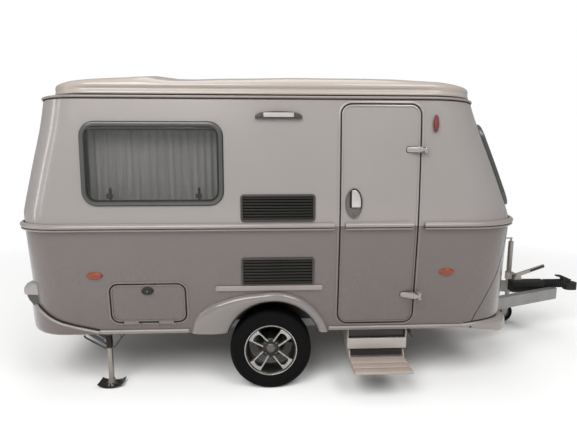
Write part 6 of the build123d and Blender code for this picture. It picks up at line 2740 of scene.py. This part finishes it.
@dataclass
class Roof:
    """Gutter frame, canvas bellows and the lifting cap."""

    rear: float = 1.48
    front: float = 1.465
    half: float = 0.925
    rear_corner: float = 0.29
    front_corner: float = 0.38
    bow: float = 0.04
    profile: tuple[Point, ...] = (
        (0.01, 2.046), (0.002, 2.0465), (0.0, 2.05), (0.0, 2.058), (0.003, 2.064), (0.01, 2.069),
        (0.0165, 2.076), (0.018, 2.083), (0.0135, 2.09),
        (0.008, 2.096), (0.0065, 2.103), (0.009, 2.112), (0.017, 2.124), (0.03, 2.134), (0.05, 2.143),
        (0.085, 2.152), (0.14, 2.162),
        (0.22, 2.177), (0.33, 2.197), (0.46, 2.217), (0.6, 2.231), (0.74, 2.24), (0.86, 2.244),
        (0.915, 2.245),
    )
    crown: tuple[Point, ...] = (
        (-1.6, -0.003), (-1.44, -0.015), (-1.26, -0.008), (-1.04, 0.002), (-0.8, 0.015), (-0.72, 0.001),
        (-0.6, -0.007), (-0.24, 0.0015),
        (0.2, 0.009), (0.42, 0.008), (0.63, 0.008), (0.85, 0.005), (1.11, -0.0055), (1.31, -0.01),
        (1.45, -0.012),
    )

    def build(self) -> None:
        """Builds the three."""
        self.build_frame()
        self.build_cap()
        self.build_bellows()

    def plan(self, inset: float, sides: int = 30, corners: int = 12, ends: int = 12) -> list[Point]:
        """Plan outline of the cap, shrunk by an inset."""
        half = self.half - inset
        points: list[Point] = []
        for sign, reach, corner in ((1, self.front, self.front_corner), (-1, self.rear, self.rear_corner)):
            radius = max(corner - inset, min(half * 0.9, 0.06))
            start = half - radius
            edge = []
            for step in range(corners + 1):
                turn = math.pi / 2 * step / corners
                y = start + radius * math.cos(turn)
                drop = self.bow * (y / self.half) ** 2 + radius * (1 - math.sin(turn))
                edge.append((reach - inset - drop, y))
            middle = []
            for step in range(1, ends):
                y = start - 2 * start * step / ends
                middle.append((reach - inset - self.bow * (y / self.half) ** 2, y))
            whole = edge + middle + [(x, -y) for x, y in reversed(edge)]
            points += [(sign * x, -sign * y) for x, y in whole]
            far = self.rear if sign > 0 else self.front
            far_radius = max(
                (self.rear_corner if sign > 0 else self.front_corner) - inset, min(half * 0.9, 0.06),
            )
            begin = sign * whole[-1][0]
            finish = -sign * (far - inset - self.bow - far_radius)
            for step in range(1, sides):
                points.append((begin + (finish - begin) * step / sides, sign * half))
        return points

    def shape_cap(self, x: float, inset: float, height: float) -> Point:
        """The cap's side groove fades out at both ends, and the rear third is raised.

        Args:
            x: place along the cap.
            inset: inset there.
            height: height there.

        Returns:
            The shaped inset and height.
        """
        groove = smooth_step((x + 1.23) / 0.06) * smooth_step((1.14 - x) / 0.1)
        if 2.064 < height < 2.103 and inset < 0.05:
            inset = 0.004 + (inset - 0.004) * (0.12 + 0.88 * groove)
        crown = smooth_step((height - 2.105) / 0.04)
        return inset, height + crown * self.crown_lift(x)

    def crown_lift(self, x: float) -> float:
        """Height added to the crown at a station along the roof.

        Args:
            x: Station ahead of the axle.

        Returns:
            Metres to add.
        """
        for (low, first), (high, last) in zip(self.crown, self.crown[1:]):
            if x <= high:
                return first + (last - first) * smooth_step((x - low) / (high - low))
        return self.crown[-1][1]

    def build_cap(self) -> None:
        """The smooth laminate cap, its seal and its lining."""
        rings = []
        for inset, height in self.profile:
            ring, insets = [], []
            for x, y in self.plan(inset):
                moved, top = self.shape_cap(x, inset, height)
                ring.append((x, y, top))
                insets.append(moved)
            if 0.0 < inset < 0.05:
                bare = self.plan(0.0)
                for index, moved in enumerate(insets):
                    share = (inset - moved) / inset
                    x, y, top = ring[index]
                    ring[index] = (x + (bare[index][0] - x) * share, y + (bare[index][1] - y) * share, top)
            rings.append(ring)
        cap = Shop.outward(Shop.rings(rings))
        Shop.edit(cap, False)
        bpy.ops.mesh.select_mode(type="EDGE")
        bpy.ops.mesh.select_non_manifold()
        bpy.ops.object.mode_set(mode="OBJECT")
        for edge in cap.data.edges:
            if edge.select and max(cap.data.vertices[i].co.z for i in edge.vertices) < 2.1:
                edge.select = False
        for vertex in cap.data.vertices:
            if vertex.co.z < 2.1:
                vertex.select = False
        bpy.ops.object.mode_set(mode="EDIT")
        bpy.ops.mesh.fill()
        bpy.ops.mesh.select_mode(type="VERT")
        bpy.ops.mesh.select_all(action="SELECT")
        bpy.ops.mesh.normals_make_consistent(inside=False)
        Shop.clear()
        Shop.apply(cap, "SOLIDIFY", thickness=0.012, offset=-1.0)
        Yard.ship("roof_shell", cap, PAINT.roof, "lifting_roof", "roof_cream", ["roof_cap"], angle=60)
        seal_rings = [
            [(x, y, z) for x, y in self.plan(inset)]
            for inset, z in ((0.012, 2.0415), (0.009, 2.047), (0.02, 2.047), (0.02, 2.0415), (0.012, 2.0415))
        ]
        Yard.ship(
            "roof_seal", Shop.outward(Shop.rings(seal_rings)), PAINT.rubber, "lifting_roof", "window_rubber",
        )
        lining = []
        for inset, z in (
            (0.16, 2.14), (0.3, 2.172), (0.46, 2.196), (0.6, 2.21), (0.74, 2.22), (0.86, 2.223),
            (0.915, 2.223),
        ):
            lining.append([(x, y, z) for x, y in self.plan(inset)])
        bottom = Shop.outward(Shop.rings(lining))
        Shop.apply(bottom, "SOLIDIFY", thickness=0.004, offset=1.0)
        Yard.ship("roof_lining", bottom, PAINT.lining, "lifting_roof", "roof_cream", angle=60)

    def build_frame(self) -> None:
        """The gutter: a pale bead over a black strip that paints its shadow line, the flange inside it, and a
        black strip that paints the shadow gap above the bead.
        """
        shape = (
            (2.019, -0.002), (2.0215, 0.0085), (2.025, 0.0125), (2.03, 0.0125), (2.034, 0.0095),
            (2.0365, 0.003), (2.0368, -0.02),
        )
        lookup = dict(shape)
        bead = Form.shell([z for z, _ in shape], lambda z: lookup[z])
        Shop.apply(bead, "SOLIDIFY", thickness=0.003, offset=-1.0)
        Yard.ship("gutter_bead", bead, PAINT.roof_rim, slot="roof_cream", stands_for=["roof_frame"], angle=60)
        flange = Form.shell([2.021, 2.0355], -0.003)
        Shop.apply(flange, "SOLIDIFY", thickness=0.105, offset=-1.0, use_even_offset=True)
        Yard.ship("gutter_flange", flange, PAINT.roof_rim, slot="roof_cream")
        # A black strip just under the bead paints the bead's shadow line.
        shadow = Form.shell([2.0135, 2.0205], 0.0035)
        Shop.apply(shadow, "SOLIDIFY", thickness=0.004, offset=-1.0)
        Yard.ship("gutter_seal", shadow, PAINT.rubber, slot="window_rubber")
        # A black strip above the bead paints the shadow gap under the roof cap.
        ledge = Form.shell([2.0366, 2.0415], -0.02)
        Shop.apply(ledge, "SOLIDIFY", thickness=0.012, offset=-1.0)
        Yard.ship("gutter_ledge_seal", ledge, PAINT.rubber, slot="window_rubber")

    def build_bellows(self) -> None:
        """Folded canvas under the cap, attached to neither body."""
        folds = 9
        rings = []
        for index in range(folds + 1):
            inset = 0.13 if index % 2 == 0 else 0.174
            rings.append([(x, y, 2.0375 + 0.032 * index / folds) for x, y in self.plan(inset)])
        piece = Yard.ship(
            "roof_bellows", Shop.outward(Shop.rings(rings)), PAINT.bellows, body="", slot="", angle=20,
        )
        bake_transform(piece)


# ---------------------------------------------------------------- cabin


@dataclass
class Cabin:
    """Furniture seen through the door and windows."""

    floor: float = 0.475

    def build(self) -> None:
        """Builds the floor covering, seats, cushions, kitchen and wardrobe."""
        self.build_floor()
        self.build_seats()
        self.build_kitchen()
        self.build_lining()

    def build_lining(self) -> None:
        """Pale boards inside the walls."""
        board = Form.shell([0.5, 0.7, 0.9, 1.1, 1.25], -0.03)
        Shop.apply(board, "SOLIDIFY", thickness=0.003, offset=-1.0)
        work = Bodywork()
        tools = [
            work.side_cutter(DOOR, Side.RIGHT, 0.004),
            work.side_cutter(SERVICE, Side.RIGHT),
            Shop.turned([(-1.3, 0.0), (-1.3, 0.352), (1.3, 0.352), (1.3, 0.0)], (0.02, 0, 0.34), steps=64),
        ]
        Yard.ship("cabin_lining_lower", Shop.cut(board, *tools), PAINT.lining, slot="")
        upper = Form.shell([1.25, 1.45, 1.65, 1.85, 2.018], -0.03)
        Shop.apply(upper, "SOLIDIFY", thickness=0.003, offset=-1.0)
        tools = [
            work.side_cutter(DOOR, Side.RIGHT, 0.004),
            work.side_cutter(SIDE_WINDOW, Side.RIGHT, -0.018),
            work.side_cutter(SIDE_WINDOW, Side.LEFT, -0.018),
            work.side_cutter(KITCHEN_WINDOW, Side.LEFT, -0.018),
            work.end_cutter(FRONT_WINDOW, End.FRONT, -0.018),
            work.end_cutter(REAR_WINDOW, End.REAR, -0.018),
        ]
        Yard.ship("cabin_lining_upper", Shop.cut(upper, *tools), PAINT.lining, slot="")

    def build_floor(self) -> None:
        """The floor covering, cut round the wheel wells, over the floor board's edge."""
        cover = Form.shell([self.floor, self.floor + 0.003], -0.036)
        Shop.edit(cover, False)
        bpy.ops.mesh.select_non_manifold()
        bpy.ops.mesh.edge_face_add()
        bpy.ops.mesh.select_all(action="SELECT")
        bpy.ops.mesh.normals_make_consistent(inside=False)
        Shop.clear()
        for side in Side:
            low, high = sorted((side.value * 0.69, side.value * 1.0))
            Shop.cut(cover, Shop.block((-0.334, low, 0.4), (0.374, high, 0.6)))
        Yard.ship("floor_covering", cover, PAINT.lino, slot="floor_ply")

    @staticmethod
    def cushion(low: Place, high: Place) -> bpy.types.Object:
        """A crowned cushion whose sides pull in between its corners.

        Args:
            low: lowest corner.
            high: highest corner.

        Returns:
            The cushion.
        """
        piece = Shop.block(low, high, 0.018, 3)
        Shop.apply(piece, "SUBSURF", levels=2, render_levels=2, subdivision_type="SIMPLE")
        middle = [(a + b) / 2 for a, b in zip(low, high)]
        reach = [(b - a) / 2 for a, b in zip(low, high)]
        thin = reach.index(min(reach))
        wide = [axis for axis in range(3) if axis != thin]
        for vertex in piece.data.vertices:
            share = [(vertex.co[axis] - middle[axis]) / reach[axis] for axis in range(3)]
            crown = (1 - min(1.0, abs(share[wide[0]])) ** 2.5) * (1 - min(1.0, abs(share[wide[1]])) ** 2.5)
            if share[thin] > 0:
                vertex.co[thin] += crown * 0.018 * share[thin]
            for one, other in (wide, wide[::-1]):
                pull = (1 - share[other] ** 2) * 0.007 * share[one] * abs(share[one]) ** 3
                vertex.co[one] -= pull
        return piece

    def build_seats(self) -> None:
        """Rear seats round a table, and a front seat, with their cushions."""
        boxes = []
        for side in Side:
            low, high = sorted((side.value * 0.34, side.value * 0.84))
            boxes.append(Shop.block((-1.3, low, self.floor + 0.004), (-0.44, high, 0.865), 0.006, 2))
        boxes.append(Shop.block((-1.56, -0.6, self.floor + 0.004), (-1.31, 0.6, 0.865), 0.006, 2))
        boxes.append(Shop.block((1.16, -0.62, self.floor + 0.004), (1.56, 0.62, 0.865), 0.006, 2))
        Yard.ship("seat_boxes", Shop.join("boxes", boxes), PAINT.wood, slot="")
        places = [
            ((-1.3, -0.86, 0.867), (-0.88, -0.34, 0.985)), ((-0.87, -0.86, 0.867), (-0.44, -0.34, 0.985)),
            ((-1.3, 0.34, 0.867), (-0.88, 0.86, 0.985)), ((-0.87, 0.34, 0.867), (-0.44, 0.86, 0.985)),
            ((-1.58, -0.33, 0.867), (-1.31, 0.33, 0.985)), ((1.16, -0.6, 0.867), (1.56, 0.6, 0.985)),
        ]
        backs = [((-1.28, 0.745, 0.99), (-0.46, 0.855, 1.29)), ((-1.28, -0.855, 0.99), (-0.46, -0.745, 1.29))]
        for word, corners in (("seat", places), ("back", backs)):
            for index, (low, high) in enumerate(corners):
                piece = Yard.ship(
                    f"{word}_cushion_{index}", self.cushion(low, high), PAINT.cushion, slot="", angle=60,
                )
        top = Shop.plate(rounded(-1.22, -0.52, -0.26, 0.26, 0.06), 1.14, 1.165)
        top.data.transform(Matrix(((1, 0, 0, 0), (0, 0, 1, 0), (0, 1, 0, 0), (0, 0, 0, 1))))
        Shop.outward(top)
        Shop.bevel(top, 0.006, 3, SMOOTH)
        post = Shop.turned(
            [
                (0.48, 0.0), (0.48, 0.1), (0.488, 0.1), (0.496, 0.03), (1.135, 0.026), (1.139, 0.08),
                (1.139, 0.0),
            ],
            (-0.87, 0.0, 0.0), (0, 0, 1), 32,
        )
        Yard.ship("cabin_table", Shop.join("table", [top, post]), PAINT.worktop, slot="")

    def build_kitchen(self) -> None:
        """Kitchen block with sink and hob on the left, and the wardrobe beside the vents."""
        carcass = Shop.block((0.4, 0.42, self.floor + 0.004), (1.12, 0.88, 1.3), 0.004, 2)
        doors = []
        for x in (0.42, 0.66, 0.89):
            door = Shop.block((x, 0.408, 0.56), (x + 0.215, 0.4195, 1.26), 0.004, 2)
            knob = Shop.block((x + 0.18, 0.398, 0.98), (x + 0.195, 0.408, 1.05), 0.003, 2)
            doors += [door, knob]
        ward = Shop.block((-0.4, 0.38, self.floor + 0.004), (0.37, 0.685, 1.98), 0.004, 2)
        ward_door = Shop.block((-0.38, 0.368, 0.52), (0.35, 0.3795, 1.94), 0.004, 2)
        cupboard = Shop.block((-0.4, -0.685, self.floor + 0.004), (0.37, -0.36, 1.1), 0.004, 2)
        Yard.ship(
            "cabin_cupboards", Shop.join("cupboards", [carcass, ward, cupboard, ward_door] + doors),
            PAINT.wood, slot="",
        )
        top = Shop.block((0.39, 0.4, 1.302), (1.13, 0.885, 1.33), 0.005, 2)
        Shop.cut(top, Shop.block((0.8, 0.5, 1.2), (1.06, 0.78, 1.4), 0.03, 4))
        bowl = Shop.block((0.795, 0.495, 1.19), (1.065, 0.785, 1.3315), 0.03, 4)
        Shop.cut(bowl, Shop.block((0.8, 0.5, 1.195), (1.06, 0.78, 1.4), 0.028, 4))
        Yard.ship("kitchen_worktop", top, PAINT.worktop, slot="")
        tap = Shop.rod(
            [
                (0.93, 0.82, 1.33), (0.93, 0.82, 1.46), (0.93, 0.79, 1.485), (0.93, 0.7, 1.485),
                (0.93, 0.68, 1.46),
            ],
            0.009,
        )
        burners = [
            Shop.turned(
                [(1.33, 0.0), (1.33, 0.075), (1.338, 0.078), (1.344, 0.03), (1.35, 0.028), (1.35, 0.0)],
                (x, 0.64, 0), (0, 0, 1), 32,
            )
            for x in (0.5, 0.68)
        ]
        Yard.ship("kitchen_metalwork", Shop.join("metal", [bowl, tap] + burners), PAINT.zinc, slot="zinc")


# ---------------------------------------------------------------- assembly


def dress_nodes(nodes: dict[str, bpy.types.Object]) -> None:
    """Gives the CAD nodes that stay in sight their finish.

    Args:
        nodes: the frame's nodes by name.
    """
    finishes = {
        "belt_rail": PAINT.rail, "door_belt": PAINT.rail, "sill_rail": PAINT.rail,
        "window_frames": PAINT.window, "window_panes": PAINT.pane, "vent_grilles": PAINT.vent,
        "chassis_frame": PAINT.galvanised, "drawbar": PAINT.galvanised, "coupling_head": PAINT.cast,
        "axle_beam": PAINT.galvanised, "swing_arms": PAINT.cast, "jockey_tube": PAINT.zinc,
        "jockey_leg": PAINT.zinc, "jockey_fork": PAINT.zinc, "jockey_crank": PAINT.zinc,
        "steady_brackets": PAINT.strut, "floor_panel": PAINT.ply, "roof_cap": PAINT.roof,
        "roof_frame": PAINT.roof_rim, "brake_drums": PAINT.cast, "handbrake": PAINT.zinc,
        "door_hinges": PAINT.frame, "flap_pins": PAINT.zinc, "lid_pins": PAINT.zinc,
    }
    for name, node in nodes.items():
        node.data.materials.clear()
        node.data.materials.append(STORE.get(finishes.get(name, PAINT.lower)))
        LOG.info("node %s dressed", name)


def main(nodes: dict[str, bpy.types.Object]) -> None:
    """Builds the scene, sub-assembly by sub-assembly.

    Args:
        nodes: the frame's nodes by name.
    """
    bpy.context.scene.view_settings.view_transform = "Standard"
    dress_nodes(nodes)
    parts = [
        Studio(), Bodywork(), WindowSet(), Curtains(), Vents(), Entrance(), Flaps(), Lamps(), Trims(),
        Wheel(Side.RIGHT), Wheel(Side.LEFT), Undercarriage(), Roof(), Cabin(),
    ]
    for part in parts:
        part.build()
        LOG.info("built %s", type(part).__name__)


if __name__ == "__main__":
    logging.basicConfig(level=logging.INFO, format="%(message)s")
    random.seed(7)
    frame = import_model()
    main(frame["nodes"])
